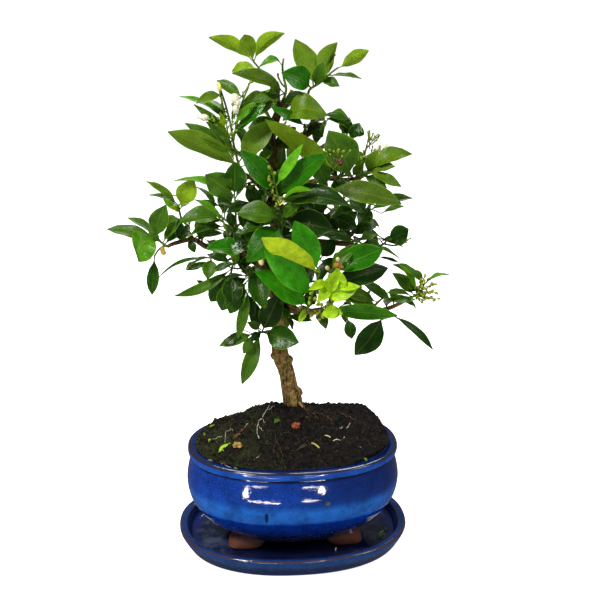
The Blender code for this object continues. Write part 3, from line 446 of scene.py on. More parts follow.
def foot(sign_x, sign_y):
    rings = []
    for share, shift, height in FOOT_LEVELS:
        centre = Vector((sign_x * FOOT_CENTRE[0] * shift, sign_y * FOOT_CENTRE[1] * shift, height))
        outline = oval(FOOT_HALF_SIZE[0] * share, FOOT_HALF_SIZE[1] * share, 0.0, FOOT_STEPS, FOOT_FULLNESS)
        rings.append([centre + point for point in outline])
    return place_in_scene("foot", loft("foot", rings))


def drill(offset):
    centre = Vector((offset, 0.0, 0.0))
    rings = [[centre + point for point in oval(DRAIN_RADIUS, DRAIN_RADIUS, height, DRAIN_STEPS, 1.0)]
             for height in (POT_UNDERSIDE - 6.0, POT_FLOOR + 2.0)]
    return place_in_scene("drill", loft("drill", rings))


# Painted reflection: the pale greyish blues at 0 and 22 mm stand for the saucer mirrored in the low belly,
# whose glaze faces down towards it.
POT_BANDS = [  # height, colour
    (0, rgb(84, 88, 124)), (22, rgb(52, 62, 116)), (32, rgb(6, 36, 116)), (47.5, rgb(4, 42, 138)),
    (50.5, rgb(22, 92, 186)), (62, rgb(26, 98, 190)), (69, rgb(8, 58, 152)), (84, rgb(5, 46, 134)),
    (89.5, rgb(10, 54, 144)), (90.5, rgb(5, 14, 50)), (91.8, rgb(7, 20, 66)), (93, rgb(22, 80, 176)),
    (98.6, rgb(18, 72, 168)), (99.8, rgb(8, 32, 84)), (POT_TOP + 1, rgb(6, 26, 70))]
material, sums, shader, place, height, colour = glaze("pot_glaze", POT_BANDS, 2.6)
worn = sums.plus(oval_reach(sums, place, POT_HALF), sums.wander(place, 140.0, 0.008))
edge = sums.times(sums.band(worn, 0.95, 0.96, 0.98, 0.988), sums.ramp(height, 0.0982, 0.0988))
colour = sums.laid(colour, rgb(44, 32, 36), edge, 0.85)
# Painted shade: dark navy laid over the right side of the upper belly, from about 60 to 93 mm high.
right_side_shade = sums.plus(sums.split(place)[0], sums.times(sums.noise(place, 16.0, 3.0), 0.1))
right_side_shade = sums.times(sums.ramp(right_side_shade, 0.03, 0.11), sums.ramp(height, 0.06, 0.074))
colour = sums.laid(colour, rgb(3, 18, 62), sums.times(right_side_shade, sums.ramp(height, 0.093, 0.09)), 0.6)
FLECKS = [  # centre, half sizes, strength, colour
    ((-29.6, -71, 57), (1.7, 8, 6), 0.9, rgb(8, 12, 34)),
    ((25.6, -71.5, 69.5), (3.4, 8, 3), 0.55, rgb(40, 66, 74)),
    ((25.6, -71.5, 69.5), (1.7, 8, 1.5), 0.8, rgb(104, 84, 44)),
    ((81, -42, 92.5), (3, 8, 2.2), 0.8, rgb(20, 14, 22))]


def fleck(sums, place, colour, centre, size, strength, spot):
    """Small firing mark, soft at its edge: centre and half sizes in millimetres."""
    away = sums.vector("SUBTRACT", place, tuple(Vector(centre) * MM))
    round_away = sums.vector("LENGTH", sums.vector("DIVIDE", away, tuple(Vector(size) * MM)))
    rough = sums.plus(round_away, sums.times(sums.noise(place, 700.0), 0.7))
    return sums.laid(colour, spot, sums.ramp(rough, 1.5, 1.1), strength)


for facts in FLECKS:
    colour = fleck(sums, place, colour, *facts)
bare = sums.ramp(sums.plus(height, sums.wander(place, 110.0, 0.004)), 0.0186, 0.0178)
clay = sums.mix(sums.noise(place, 160.0, 5.0, 0.7), rgb(60, 26, 16), rgb(118, 54, 34))
colour = sums.mix(bare, colour, clay)
sums.feed(shader.inputs["Base Color"], colour)
bareness = sums.times_plus(bare, CLAY_ROUGHNESS - GLAZE_ROUGHNESS, GLAZE_ROUGHNESS)
sums.feed(shader.inputs["Roughness"], bareness)
sums.feed(shader.inputs["Coat Weight"], sums.times_plus(bare, -GLAZE_COAT, GLAZE_COAT))

pot = place_in_scene("glazed_pot", oval_loft("glazed_pot", POT_HALF, POT_OUTER + POT_INNER, 5))
joined_solid(pot, [foot(x, y) for x in (-1, 1) for y in (-1, 1)], "UNION")
joined_solid(pot, [drill(x) for x in (-DRAIN_OFFSET, DRAIN_OFFSET)], "DIFFERENCE")
pot.data.shade_smooth()
pot.data.set_sharp_from_angle(angle=CREASE)
pot.data.materials.clear()
pot.data.materials.append(material)
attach(pot, "root")
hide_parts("pot")

# Soil.  Dark peat with bark crumbs and root fibres, pressed in round the roots and heaped over the rim.  Its
# left half has grown a thin moss, and fine pale rootlets lie open on it.

SOIL_EDGE = 98.5
SOIL_CREST = 129.5
CREST_DEPTH = 20.0
CREST_ENDS = (-92.0, 93.0)
CREST_SLOPES = (66.0, 28.0)
CREST_FALL = 0.07
LUMP_HEIGHT = 1.1
CRUMB_RISE = 3.0
SOIL_RINGS = 72
RING_SPREAD = 0.85
RIM_LAP = 1.6
SOIL_STEPS = 200
SOIL_INSET = (8.5, 9.2)
EDGE_FALL = 40.0
SOIL_MOUTH = [(11.0, 11.5, 96.8), (10.9, 11.4, 99.6)]  # inside the oval at its ends and sides, height
MATT_SPECULAR = 0.12
LEAST_UPWARD = 0.35
LEAST_STRETCH = 0.6
EYE = Vector((-85.0, -996.0, 560.0))
TRUNK_FOOT = (0.3, 137.0, -25.0)


def seen(across, up, toward):
    """Real place of a point that appears at (across, up) and stands toward millimetres in front."""
    on_plane = Vector((across, 0.0, up))
    return EYE + (on_plane - EYE) * (1.0 + toward / EYE.y)


def crest_height(across):
    """Height of the heap's ridge: a long slope on the left, a level top and a short fall on the right."""
    left = min(max((across - CREST_ENDS[0]) / CREST_SLOPES[0], 0.0), 1.0)
    right = min(max((CREST_ENDS[1] - across) / CREST_SLOPES[1], 0.0), 1.0)
    ease = left * (1.1 - 0.1 * left) * math.sin(0.5 * math.pi * right)
    top = SOIL_CREST - CREST_FALL * max(across, 0.0)
    return SOIL_EDGE + (top - SOIL_EDGE) * ease


def soil_height(across, back):
    """Height of the heap's plain form, with a few broad lumps."""
    reach = (POT_HALF[1] - 12.0) - math.copysign(CREST_DEPTH, back - CREST_DEPTH)
    share = min(abs(back - CREST_DEPTH) / reach, 1.0)
    lump = LUMP_HEIGHT * math.sin(across * 0.21 + 1.3) * math.cos(back * 0.27 + across * 0.05) * (1.0 - share)
    return SOIL_EDGE + (crest_height(across) - SOIL_EDGE) * (1.0 - share ** 1.7) + lump


def crumbled(across, back):
    """Height of the loose surface: the heap's form with clods and crumbs on it."""
    place = Vector((across, back, 0.0))
    clods = noise.noise(place * 0.09) * 1.6 + abs(noise.noise(place * 0.2)) * 3.0
    crumbs = abs(noise.noise(place * 0.5 + Vector((7.0, 3.0, 0.0)))) * 3.2
    return soil_height(across, back) + clods + crumbs - CRUMB_RISE


trunk_foot = seen(*TRUNK_FOOT)
soil_edge = oval(POT_HALF[0] - SOIL_INSET[0], POT_HALF[1] - SOIL_INSET[1], 0.0, SOIL_STEPS)
soil_rings = [oval(POT_HALF[0] - end - SEAT, POT_HALF[1] - side - SEAT, height, SOIL_STEPS)
              for end, side, height in POT_INNER[:1:-1]]
soil_rings += [oval(POT_HALF[0] - end, POT_HALF[1] - side, height, SOIL_STEPS)
               for end, side, height in SOIL_MOUTH]
for number in range(SOIL_RINGS):
    share = (1.0 - number / SOIL_RINGS) ** RING_SPREAD
    ring = []
    for point in soil_edge:
        across = trunk_foot.x + (point.x - trunk_foot.x) * share
        back = trunk_foot.y + (point.y - trunk_foot.y) * share
        height = crumbled(across, back) + RIM_LAP * share ** 6
        ring.append(Vector((across, back, max(height, POT_TOP + SEAT - EDGE_FALL * (1.0 - share)))))
    soil_rings.append(ring)
soil_mesh = loft("peat", soil_rings)


def solid_like(name, colours, scale, roughness, depth, bumps=3.0):
    """Matt natural stuff: two colours drifting into each other, with a rough surface."""
    material, sums, shader = new_material(name)
    place = sums.object_place()
    share = sums.ramp(sums.noise(place, scale, 5.0, 0.7), 0.38, 0.62)
    sums.feed(shader.inputs["Base Color"], sums.mix(share, *colours))
    shader.inputs["Roughness"].default_value = roughness
    shader.inputs["Specular IOR Level"].default_value = MATT_SPECULAR
    relief(sums, shader, sums.noise(place, scale * bumps, 4.0, 0.7), depth)
    return material, sums, shader, place


peat, sums, shader, place = solid_like("peat", (rgb(11, 11, 12), rgb(30, 28, 27)), 260.0, 0.95, 0.0012)
across = sums.split(place)[0]
left_half = sums.ramp(sums.plus(across, sums.times(sums.noise(place, 40.0), 0.05)), 0.012, -0.035)
moss_share = sums.times(left_half, sums.ramp(sums.noise(place, 70.0, 4.0), 0.44, 0.6))
earth = shader.inputs["Base Color"].links[0].from_socket
sums.feed(shader.inputs["Base Color"], sums.laid(earth, rgb(46, 56, 26), moss_share, 0.6))
soil = place_in_scene("peat", soil_mesh, peat)
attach(soil, "root")
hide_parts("soil")


def new_node_tree(name, inputs):
    """Geometry node tree with named inputs: each one a socket type and its value."""
    tree = bpy.data.node_groups.new(name, "GeometryNodeTree")
    tree.interface.new_socket("Geometry", in_out="INPUT", socket_type="NodeSocketGeometry")
    tree.interface.new_socket("Geometry", in_out="OUTPUT", socket_type="NodeSocketGeometry")
    for key, (kind, value) in inputs.items():
        socket = tree.interface.new_socket(key, in_out="INPUT", socket_type="NodeSocket" + kind)
        if value is not None:
            socket.default_value = value
    given = tree.nodes.new("NodeGroupInput")
    result = tree.nodes.new("NodeGroupOutput")
    return tree, Sums(tree), given.outputs, result.inputs["Geometry"]


def grown(thing, tree, **settings):
    """Run a node tree on an object and keep what it makes as the object's plain mesh."""
    modifier = thing.modifiers.new("nodes", "NODES")
    modifier.node_group = tree
    for socket in tree.interface.items_tree:
        key = socket.name.replace(" ", "_")
        if socket.in_out == "INPUT" and key in settings:
            modifier[socket.identifier] = settings[key]
    plain = bpy.data.meshes.new_from_object(thing.evaluated_get(bpy.context.evaluated_depsgraph_get()))
    thing.modifiers.clear()
    thing.data = plain
    return thing


def scatter_tree(name, shape, stretch):
    """Tree that strews small copies of a shape over the upward faces of a surface."""
    tree, sums, given, result = new_node_tree(name, {
        "Density": ("Float", 1000.0), "Smallest": ("Float", 0.3), "Largest": ("Float", 1.0),
        "Left": ("Float", -1.0), "Right": ("Float", 1.0), "Patches": ("Float", 0.0), "Lean": ("Float", 3.1),
        "Seed": ("Int", 1), "Material": ("Material", None)})
    place = sums.node("GeometryNodeInputPosition")
    upward = sums.split(sums.node("GeometryNodeInputNormal"))[2]
    x = sums.split(place)[0]
    inside = sums.times(sums.sum("GREATER_THAN", x, given["Left"]), sums.sum("LESS_THAN", x, given["Right"]))
    patch = sums.sum("GREATER_THAN", sums.noise(place, 60.0, 3.0), given["Patches"])
    chosen = sums.times(sums.times(inside, patch), sums.sum("GREATER_THAN", upward, LEAST_UPWARD))
    points = sums.node("GeometryNodeDistributePointsOnFaces", {
        "Mesh": given["Geometry"], "Selection": chosen, "Density": given["Density"], "Seed": given["Seed"]})
    lean = sums.node("FunctionNodeRandomValue", {0: (-1.0, -1.0, -1.0), 1: (1.0, 1.0, 1.0)},
                     data_type="FLOAT_VECTOR")
    size = sums.random(given["Smallest"], given["Largest"])
    long = sums.random(LEAST_STRETCH, stretch, seed=5)
    copies = sums.node("GeometryNodeInstanceOnPoints", {
        "Points": points, "Instance": shape(sums), "Rotation": sums.scaled(lean, given["Lean"]),
        "Scale": sums.scaled(sums.joined(1.0, 1.0, long), sums.times(size, MM))})
    sums.finish(result, copies, given["Material"])
    return tree


def lump(sums):
    """Crumb of eighty faces, knocked out of round."""
    ball = sums.node("GeometryNodeMeshIcoSphere", {"Radius": 0.5, "Subdivisions": 2})
    place = sums.node("GeometryNodeInputPosition")
    push = sums.scaled(place, sums.times_plus(sums.noise(place, 2.2, 1.0), 1.6, -0.8))
    return sums.node("GeometryNodeSetPosition", {"Geometry": ball, "Offset": push})


def hair(sums):
    """Short fibre with three sides and a bend in it."""
    path = sums.node("GeometryNodeCurveQuadraticBezier", {
        "Resolution": 5, "Start": (0.0, 0.0, -0.3), "Middle": (0.5, 0.15, 0.5), "End": (-0.1, 0.0, 1.4)})
    outline = sums.node("GeometryNodeCurvePrimitiveCircle", {"Resolution": 3, "Radius": 0.05})
    return sums.node("GeometryNodeCurveToMesh", {"Curve": path, "Profile Curve": outline, "Fill Caps": True})


def strewn(name, tree, material, **settings):
    """Loose stuff strewn over the peat, as a piece of its own."""
    piece = grown(place_in_scene(name, soil_mesh.copy()), tree, Material=material, **settings)
    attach(piece, "root")
    return piece


crumb_tree = scatter_tree("crumbs", lump, 1.3)
hair_tree = scatter_tree("fibres", hair, 2.2)
dark_crumb = solid_like("dark_crumb", (rgb(10, 10, 11), rgb(48, 41, 36)), 180.0, 0.95, 0.0003)[0]
brown_crumb = solid_like("brown_crumb", (rgb(34, 24, 18), rgb(80, 58, 40)), 700.0, 0.9, 0.0003)[0]
fibre = solid_like("root_fibre", (rgb(32, 24, 20), rgb(98, 82, 60)), 300.0, 0.8, 0.0001)[0]
moss = solid_like("moss", (rgb(44, 56, 18), rgb(136, 146, 60)), 300.0, 0.85, 0.0001)[0]
strewn("peat_crumbs", crumb_tree, dark_crumb, Density=50000.0, Smallest=0.8, Largest=3.2, Seed=3)
strewn("bark_crumbs", crumb_tree, brown_crumb, Density=6000.0, Smallest=0.7, Largest=2.4, Seed=8)
strewn("peat_fibres", hair_tree, fibre, Density=22000.0, Smallest=1.0, Largest=3.6, Seed=11)
strewn("moss_tufts", hair_tree, moss, Density=150000.0, Smallest=0.6, Largest=1.9, Right=-0.012, Patches=0.5,
       Lean=0.7, Seed=17)

# Trunk and branches.  One grown woody piece: a flared foot, a leaning trunk with grooved bark and swollen
# knots, a cut stub at its top, and the woody stretch that each leafy shoot stands on.

TRUNK = [  # place, radius
    ((0, 141, -25), 9.4), ((-2.4, 152, -24), 8.2), ((-5.6, 170, -22), 7.4), ((-9.8, 182, -20), 7.8),
    ((-11.8, 192, -19), 7.6), ((-12.4, 208, -17), 6.5), ((-13, 227, -14), 5.8), ((-15, 250, -12), 5.6),
    ((-15, 280, -10), 5.5), ((-15, 305, -8), 5.2), ((-13, 328, -6), 5.2), ((-14, 348, -8), 4.7),
    ((-17, 367, -10), 4.7), ((-19, 386, -10), 5), ((-15, 401, -8), 4), ((-10, 413, -6), 3.2)]
STUB = [((-10, 410, -6), 3), ((-4, 419, -5), 2.7), ((1.5, 427, -4), 3.1)]
KNOTS = [  # start, end, radius
    ((-11, 186, -19), (-20.5, 186, -18), 5.6), ((0, 150, -24), (9.6, 147.5, -21), 6.4),
    ((-6, 182, -19), (0.4, 181, -15), 5), ((-8, 196, -17), (-6, 197.5, -10), 3.4),
    ((-9, 171, -21), (-11.5, 168, -13), 3.8), ((-4, 158, -21), (-1, 156, -13), 4.2),
    ((-13, 236, -13), (-18, 238, -9), 3.4)]
KNOT_STEPS = 6
ROOTS = [  # start, middle, end, radius
    ((2, 142, -22), (9, 134, -17), (15, 127.5, -11), 3.6),
    ((-2, 138, -22), (-9, 130.5, -17), (-14, 125, -13), 3)]
ROOT_TAPER = (1.0, 0.6, 0.2)
PLUG_RADIUS, PLUG_DEPTH = 9.2, 4.0
SHOOT_RADIUS = 1.2
WOOD_END_RADIUS = SHOOT_RADIUS + 0.3
BACK_WOOD_RADIUS = 2.6
STOUT_SIDES, THIN_SIDES = 44, 11
GRAIN_STRETCH = (1.0, 1.0, 0.22)
Spray = namedtuple("Spray", "name thick wood shoots leaves buds")
Leaf = namedtuple("Leaf", "tone on along tip width face arch bow")
Bud = namedtuple("Bud", "tone on along tip radius")
# DARK is partly painted shade, given to leaves deep in the crown and behind others, and BRIGHT partly painted
# light, given to leaves lit from the front; both are also greens the leaves really have.
DARK, DEEP, FRESH, MID = rgb(24, 52, 8), rgb(38, 78, 8), rgb(38, 106, 8), rgb(64, 104, 8)
GRASS, OLIVE, LIME, YOUNG = rgb(82, 142, 8), rgb(88, 120, 4), rgb(130, 164, 6), rgb(170, 218, 10)
BRIGHT, GOLD, DUSK = rgb(58, 154, 16), rgb(212, 240, 24), rgb(72, 98, 4)
WHITE, PALE, CREAM, KNOB = rgb(240, 238, 216), rgb(226, 222, 120), rgb(224, 208, 150), rgb(140, 154, 36)
RUSSET, CALYX, FRUITLET = rgb(172, 122, 44), rgb(92, 32, 34), rgb(172, 142, 52)


def leaf(tone, along, tip, width, face=60.0, arch=2.0, bow=0.0, on=0):
    """One leaf: its green, its place on its shoot, seen tip, width, tilt of its upper side (0 is up, 90 to
    the front), how far its middle arches off the chord and bows within its own plane, and its shoot."""
    return Leaf(tone, on, along, tip, width, face, arch, bow)


def bud(tone, along, tip, radius, on=0):
    return Bud(tone, on, along, tip, radius)


SPRAYS = [
    Spray("spray_top_left", 2.2, [(-10, 414, -6), (-14, 424, -11)],
          [[(-14, 424, -11), (-21, 437, -13), (-28, 447, -12), (-33, 453, -10)]],
          [leaf(LIME, 2.9, (-70, 473, -10), 13, -65, 1, -4), leaf(LIME, 3, (-40, 475, 4), 14, -80, 1),
           leaf(LIME, 3, (-6, 476, -8), 13, -70, 2, 5), leaf(LIME, 1.9, (-51, 445, -26), 13, 60)], []),
    Spray("spray_leader", 2.4, [(-10, 412, -6), (-7, 421, -5)],
          [[(-7, 421, -5), (-5, 429, -5), (-7, 439, -4), (-8, 448, -4), (-7, 455, -5)],
           [(-6, 431, -5), (-9, 434, -3), (-12, 440, -3)]],
          [leaf(DUSK, 0.5, (-51, 443, 6), 14, 50, 8), leaf(GRASS, 3, (-28, 448, 4), 8, 40, 8),
           leaf(MID, 0.6, (-48, 406, 14), 18, 60, 1)], [bud(KNOB, 2, (-12, 442, -3), 1.3, on=1)]),
    Spray("spray_top_low", 2.2, [(-16, 396, -8), (-10, 398, -1)],
          [[(-10, 398, -1), (-7, 399, 3), (-5, 401, 5)]],
          [leaf(OLIVE, 1.6, (31, 406, 18), 27, 45, 15), leaf(MID, 0.8, (-38, 396, -2), 15, 50, 3)], []),
    Spray("spray_top_right", 3,
          [(-17, 374, -9), (-4, 384, -5), (10, 388, -1), (18, 394, 1), (17, 406, 2), (14, 419, 2)],
          [[(14, 419, 2), (15, 428, 3), (24, 434, 4), (33, 442, 5), (40, 447, 5)]],
          [leaf(FRESH, 1.2, (-9, 443, 18), 21, 70, 3, 2), leaf(OLIVE, 1.4, (3, 471, -8), 20, -80, 1, -3),
           leaf(OLIVE, 2.2, (39, 468, -10), 17, -70, 1, 2), leaf(MID, 1.5, (27, 452, 14), 12, 75),
           leaf(LIME, 4, (66, 461, 3), 14, -60, -2), leaf(MID, 2.8, (60, 437, 6), 8, 15, 1),
           leaf(MID, 2.1, (41, 431, 13), 10, 50), leaf(OLIVE, 2.6, (38, 458, -16), 9, -20)], []),
    Spray("spray_upper_left", 4.2, [(-13, 316, -6), (-20, 334, 1), (-32, 349, 6), (-43, 357, 8)],
          [[(-43, 357, 8), (-47, 366, 9), (-51, 384, 10), (-53, 399, 10), (-57, 416, 11), (-61, 429, 12)],
           [(-51, 384, 10), (-48, 400, 16), (-45, 412, 18), (-41, 423, 18), (-37, 432, 17)]],
          [leaf(OLIVE, 0.5, (-107, 394, 14), 21, -60, 2, -1), leaf(MID, 1.4, (-92, 401, 2), 12, 60),
           leaf(MID, 1.5, (-74, 402, 26), 9, 70), leaf(MID, 2.1, (-84, 417, 20), 8, 50),
           leaf(OLIVE, 1, (-16, 403, 14), 20, 60), leaf(MID, 2.3, (-23, 417, 24), 9, 50),
           leaf(GRASS, 3.4, (-96, 424, 8), 10, 20), leaf(MID, 3.6, (-80, 421, -8), 10, 5),
           leaf(OLIVE, 4.7, (-82, 418, 22), 9, 60, 4), leaf(MID, 2.9, (-64, 437, 6), 10, 60, 1, on=1),
           leaf(DEEP, 1.2, (-30, 420, 30), 10, 55, on=1)],
          [bud(PALE, 5, (-63, 435, 12), 2.2), bud(WHITE, 3.2, (-83, 407, 24), 3.6),
           bud(WHITE, 1.9, (-49, 425, 28), 3.8, on=1), bud(WHITE, 1.4, (-49, 415, 32), 3.5, on=1),
           bud(KNOB, 4, (-35, 437, 17), 1.2, on=1)]),
    Spray("spray_left_upper", 2.1, [(-42, 281, 5), (-47, 290, 8), (-48, 297, 10)],
          [[(-48, 297, 10), (-50, 312, 12), (-50, 326, 14), (-51, 338, 15)]],
          [leaf(MID, 3, (-76, 356, 22), 22, 70, 1), leaf(DEEP, 3, (-50, 367, 16), 20, 75),
           leaf(GRASS, 2.7, (-103, 351, 8), 11, 25, 7), leaf(MID, 2, (-66, 331, 4), 8, 30),
           leaf(MID, 2.6, (-39, 354, 6), 5, 60)], []),
    Spray("spray_left_arch", 2, [(-58, 287, 9), (-56, 296, 13)],
          [[(-56, 296, 13), (-58, 305, 16), (-62, 316, 17)]],
          [leaf(MID, 2, (-100, 313, 22), 17, 45, 8), leaf(GRASS, 1.6, (-86, 334, 8), 10, 10),
           leaf(MID, 1.4, (-88, 305, 10), 12, 50, 3), leaf(GRASS, 0.9, (-93, 300, 20), 8, 15, 5)], []),
    Spray("spray_far_left", 3.6,
          [(-15, 262, -11), (-35, 277, 3), (-60, 288, 9), (-76, 291, 8), (-88, 298, 5), (-104, 295, 5),
           (-111, 292, 6)],
          [[(-111, 292, 6), (-116, 296, 8), (-119, 300, 9)],
           [(-113, 294, 7), (-119, 289, 9), (-123, 283, 10)]],
          [leaf(MID, 2, (-163, 309, 4), 14, 40, 1), leaf(MID, 1.7, (-145, 319, -6), 11, 10),
           leaf(MID, 1.9, (-111, 330, 16), 17, 65, 1, -3), leaf(GRASS, 1.2, (-137, 279, 22), 27, 75, 1, 9),
           leaf(DEEP, 2, (-126, 248, 11), 11, 80, on=1), leaf(MID, 0.8, (-97, 317, 12), 9, 40),
           leaf(MID, 0.5, (-97, 307, -2), 8, 50)], [bud(FRUITLET, 0.7, (-114, 286, 17), 2.8, on=1)]),
    Spray("spray_left_high", 2, [(-88, 298, 5), (-92, 305, 3), (-93, 311, 2)],
          [[(-93, 311, 2), (-98, 318, 2), (-100, 330, 3)]],
          [leaf(OLIVE, 2, (-127, 351, 4), 8, 40, 3), leaf(MID, 1.8, (-125, 339, -8), 9, 5),
           leaf(LIME, 2, (-86, 352, 8), 18, 75), leaf(LIME, 1.6, (-91, 331, -8), 6, 30),
           leaf(MID, 0.9, (-114, 312, -8), 11, 50), leaf(LIME, 1.5, (-108, 327, 12), 6, 60)], []),
    Spray("spray_left_low", 1.9, [(-68, 289, 9), (-70, 284, 12)], [[(-70, 284, 12), (-73, 280, 13)]],
          [leaf(DEEP, 1, (-120, 263, 10), 6, 20, 7), leaf(MID, 0.8, (-76, 261, 24), 13, 70),
           leaf(MID, 0.6, (-95, 271, -18), 8, 20)], []),
    Spray("spray_left_hanging", 2.2, [(-35, 277, 3), (-46, 277, 13), (-53, 275, 18)],
          [[(-53, 275, 18), (-55, 266, 22), (-54, 258, 24)]],
          [leaf(MID, 0.4, (-106, 246, 28), 10, 50, -6, -3), leaf(DARK, 1.2, (-54, 236, 36), 18, 75),
           leaf(DEEP, 0.8, (-74, 240, 14), 16, 60), leaf(DEEP, 1.8, (-64, 231, 26), 17, 60)], []),
    Spray("spray_left_inner", 2.4, [(-15, 266, -11), (-22, 270, 4), (-28, 271, 14)],
          [[(-28, 271, 14), (-36, 271, 22), (-39, 262, 27), (-39, 250, 28)]],
          [leaf(DEEP, 0.8, (-27, 233, 42), 19, 80), leaf(DARK, 2, (-58, 250, 10), 13, 60),
           leaf(MID, 3, (-50, 204, 30), 10, 60, 1)], []),
    Spray("spray_front_upper", 3, [(-13, 312, -8), (-13, 321, 12), (-12, 327, 26)],
          [[(-12, 327, 26), (-13, 336, 36), (-15, 346, 42), (-18, 358, 46)]],
          [leaf(FRESH, 1.2, (-45, 377, 50), 19, 60), leaf(rgb(104, 186, 24), 1.8, (9, 381, 58), 9, 60),
           leaf(FRESH, 0.9, (31, 373, 62), 19, 65, 1, -2), leaf(DEEP, 1, (-9, 361, 36), 14, 70),
           leaf(DARK, 0.5, (52, 325, 66), 23, 45, 10)],
          [bud(KNOB, 2, (-22, 352, 52), 1.6), bud(KNOB, 2.4, (-15, 358, 55), 1.6),
           bud(KNOB, 3, (-21, 363, 50), 1.7), bud(KNOB, 2.7, (-22, 358, 42), 1.5)]),
    Spray("spray_front_middle", 2.8, [(-15, 286, -9), (-12, 297, 12), (-10, 303, 25)],
          [[(-10, 303, 25), (-9, 309, 32), (-10, 316, 36)]],
          [leaf(MID, 2, (-49, 320, 34), 21, 50, 3), leaf(DEEP, 1.1, (-48, 300, 46), 13, 25, 6),
           leaf(FRESH, 0.7, (-41, 276, 68), 25, 60, 5), leaf(DARK, 1.6, (36, 304, 46), 25, 60, 3),
           leaf(MID, 2, (9, 330, 52), 9, 60)], []),
    Spray("spray_front_left", 2.8, [(-15, 270, -10), (-26, 279, 20), (-33, 283, 34)],
          [[(-33, 283, 34), (-37, 287, 41), (-40, 291, 45)]],
          [leaf(FRESH, 1, (-77, 289, 48), 18, 40, 1), leaf(DARK, 1.8, (-52, 304, 40), 14, 50),
           leaf(DEEP, 1.9, (-33, 311, 60), 12, 60)], []),
    Spray("spray_front_low", 2.8, [(-14, 240, -12), (-3, 235, 8), (8, 229, 30)],
          [[(8, 229, 30), (15, 233, 40), (18, 243, 47), (22, 256, 52), (25, 266, 55)]],
          [leaf(BRIGHT, 1, (-34, 267, 60), 21, 60), leaf(BRIGHT, 2, (-25, 286, 68), 23, 60),
           leaf(GOLD, 4, (-27, 298, 84), 22, -50, -3), leaf(BRIGHT, 4, (2, 313, 62), 22, 65, -3),
           leaf(YOUNG, 0.6, (6, 217, 44), 6, 80)],
          [bud(KNOB, 1.3, (22, 241, 56), 2), bud(KNOB, 0.7, (5, 232, 50), 1.7)]),
    Spray("spray_front_right", 3.2, [(-14, 250, -12), (2, 247, 10), (20, 249, 34), (29, 250, 47)],
          [[(29, 250, 47), (33, 252, 56), (36, 254, 64)], [(33, 252, 56), (33, 260, 54), (34, 265, 52)]],
          [leaf(FRESH, 2, (82, 285, 48), 22, 55, on=1), leaf(DARK, 1, (87, 267, 40), 20, 55, 1),
           leaf(YOUNG, 1.9, (41, 268, 80), 20, 80), leaf(YOUNG, 2, (62, 250, 84), 8, 60, 1, 2),
           leaf(YOUNG, 1.8, (15, 248, 80), 8, 60, 1, 2), leaf(YOUNG, 1.6, (23, 236, 78), 10, 65),
           leaf(MID, 1.6, (56, 290, 46), 11, 50, 3, on=1)],
          [bud(RUSSET, 1.9, (43, 273, 68), 3.6, on=1), bud(CREAM, 2, (31, 270, 64), 2.3, on=1)]),
    Spray("spray_front_foot", 2.2, [(16, 228, 9), (21, 229, 20), (26, 230, 32)],
          [[(26, 230, 32), (30, 229, 44), (34, 228, 50)]],
          [leaf(YOUNG, 2, (46, 225, 70), 12, 75), leaf(rgb(54, 112, 16), 1, (97, 221, 48), 14, 65)],
          [bud(KNOB, 1.5, (25, 236, 60), 1.8), bud(KNOB, 1.2, (20, 224, 56), 1.6),
           bud(KNOB, 1.8, (32, 238, 66), 1.8)]),
    Spray("spray_low_left", 2.6, [(-12, 206, -17), (-21, 209, -7), (-25, 209, 0)],
          [[(-25, 209, 0), (-29, 209, 5), (-37, 208, 8)]],
          [leaf(DEEP, 0.5, (6, 198, 24), 22, 70), leaf(MID, 1, (-47, 159, 18), 14, 75),
           leaf(MID, 2, (-45, 189, 10), 9, 70), leaf(DARK, 0.8, (-11, 246, 12), 21, 70),
           leaf(DARK, 1.2, (-37, 241, 2), 12, 60), leaf(MID, 1.7, (-67, 197, 12), 11, 60, 1)], []),
    Spray("spray_low_right", 2.2, [(-13, 224, -14), (-6, 223, -8)], [[(-6, 223, -8), (-1, 223, -4)]],
          [leaf(MID, 1, (19, 223, 8), 11, 40, -3)], []),
    Spray("spray_right_top", 2.4, [(27, 350, 9), (37, 364, 5), (45, 377, 2), (47, 384, 1)],
          [[(47, 384, 1), (48, 390, 1)], [(48, 388, 1), (51, 386, 3), (54, 386, 4)]],
          [leaf(MID, 1, (30, 403, 8), 13, 40, 8), leaf(OLIVE, 1, (50, 404, -6), 10, -30, -3),
           leaf(MID, 0.9, (40, 403, 16), 10, 70), leaf(DEEP, 2, (59, 399, 5), 14, 80, on=1)], []),
    Spray("spray_right_flower", 3.6, [(-15, 338, -8), (8, 345, 3), (27, 350, 9), (42, 352, 13)],
          [[(42, 352, 13), (48, 353, 19), (53, 352, 22)],
           [(44, 352, 15), (41, 361, 26), (37, 368, 32), (36, 372, 34)]],
          [leaf(MID, 2, (32, 393, 30), 31, 65, 3), leaf(LIME, 0.5, (-23, 403, 48), 21, -50, 4, 5, on=1)],
          [bud(KNOB, 3, (32, 377, 36), 1.3, on=1), bud(KNOB, 3, (42, 377, 40), 1.3, on=1),
           bud(KNOB, 2.6, (48, 376, 42), 1.3, on=1), bud(CALYX, 2, (43, 366, 40), 2.4, on=1)]),
    Spray("spray_right_upper", 2.4, [(32, 351, 10), (46, 349, 2), (60, 351, 6)],
          [[(60, 351, 6), (64, 353, 8), (68, 356, 9)], [(62, 352, 7), (63, 366, 6), (66, 380, 6)]],
          [leaf(OLIVE, 1.7, (106, 371, 10), 15, 45, 12), leaf(OLIVE, 2, (91, 360, 26), 13, 45),
           leaf(MID, 0.4, (55, 375, 0), 13, 70, on=1), leaf(MID, 1, (95, 343, 12), 11, 45, 1),
           leaf(MID, 0.7, (84, 341, 26), 10, 50)],
          [bud(KNOB, 2, (68, 392, 6), 1.5, on=1), bud(KNOB, 1.7, (74, 388, 8), 1.5, on=1),
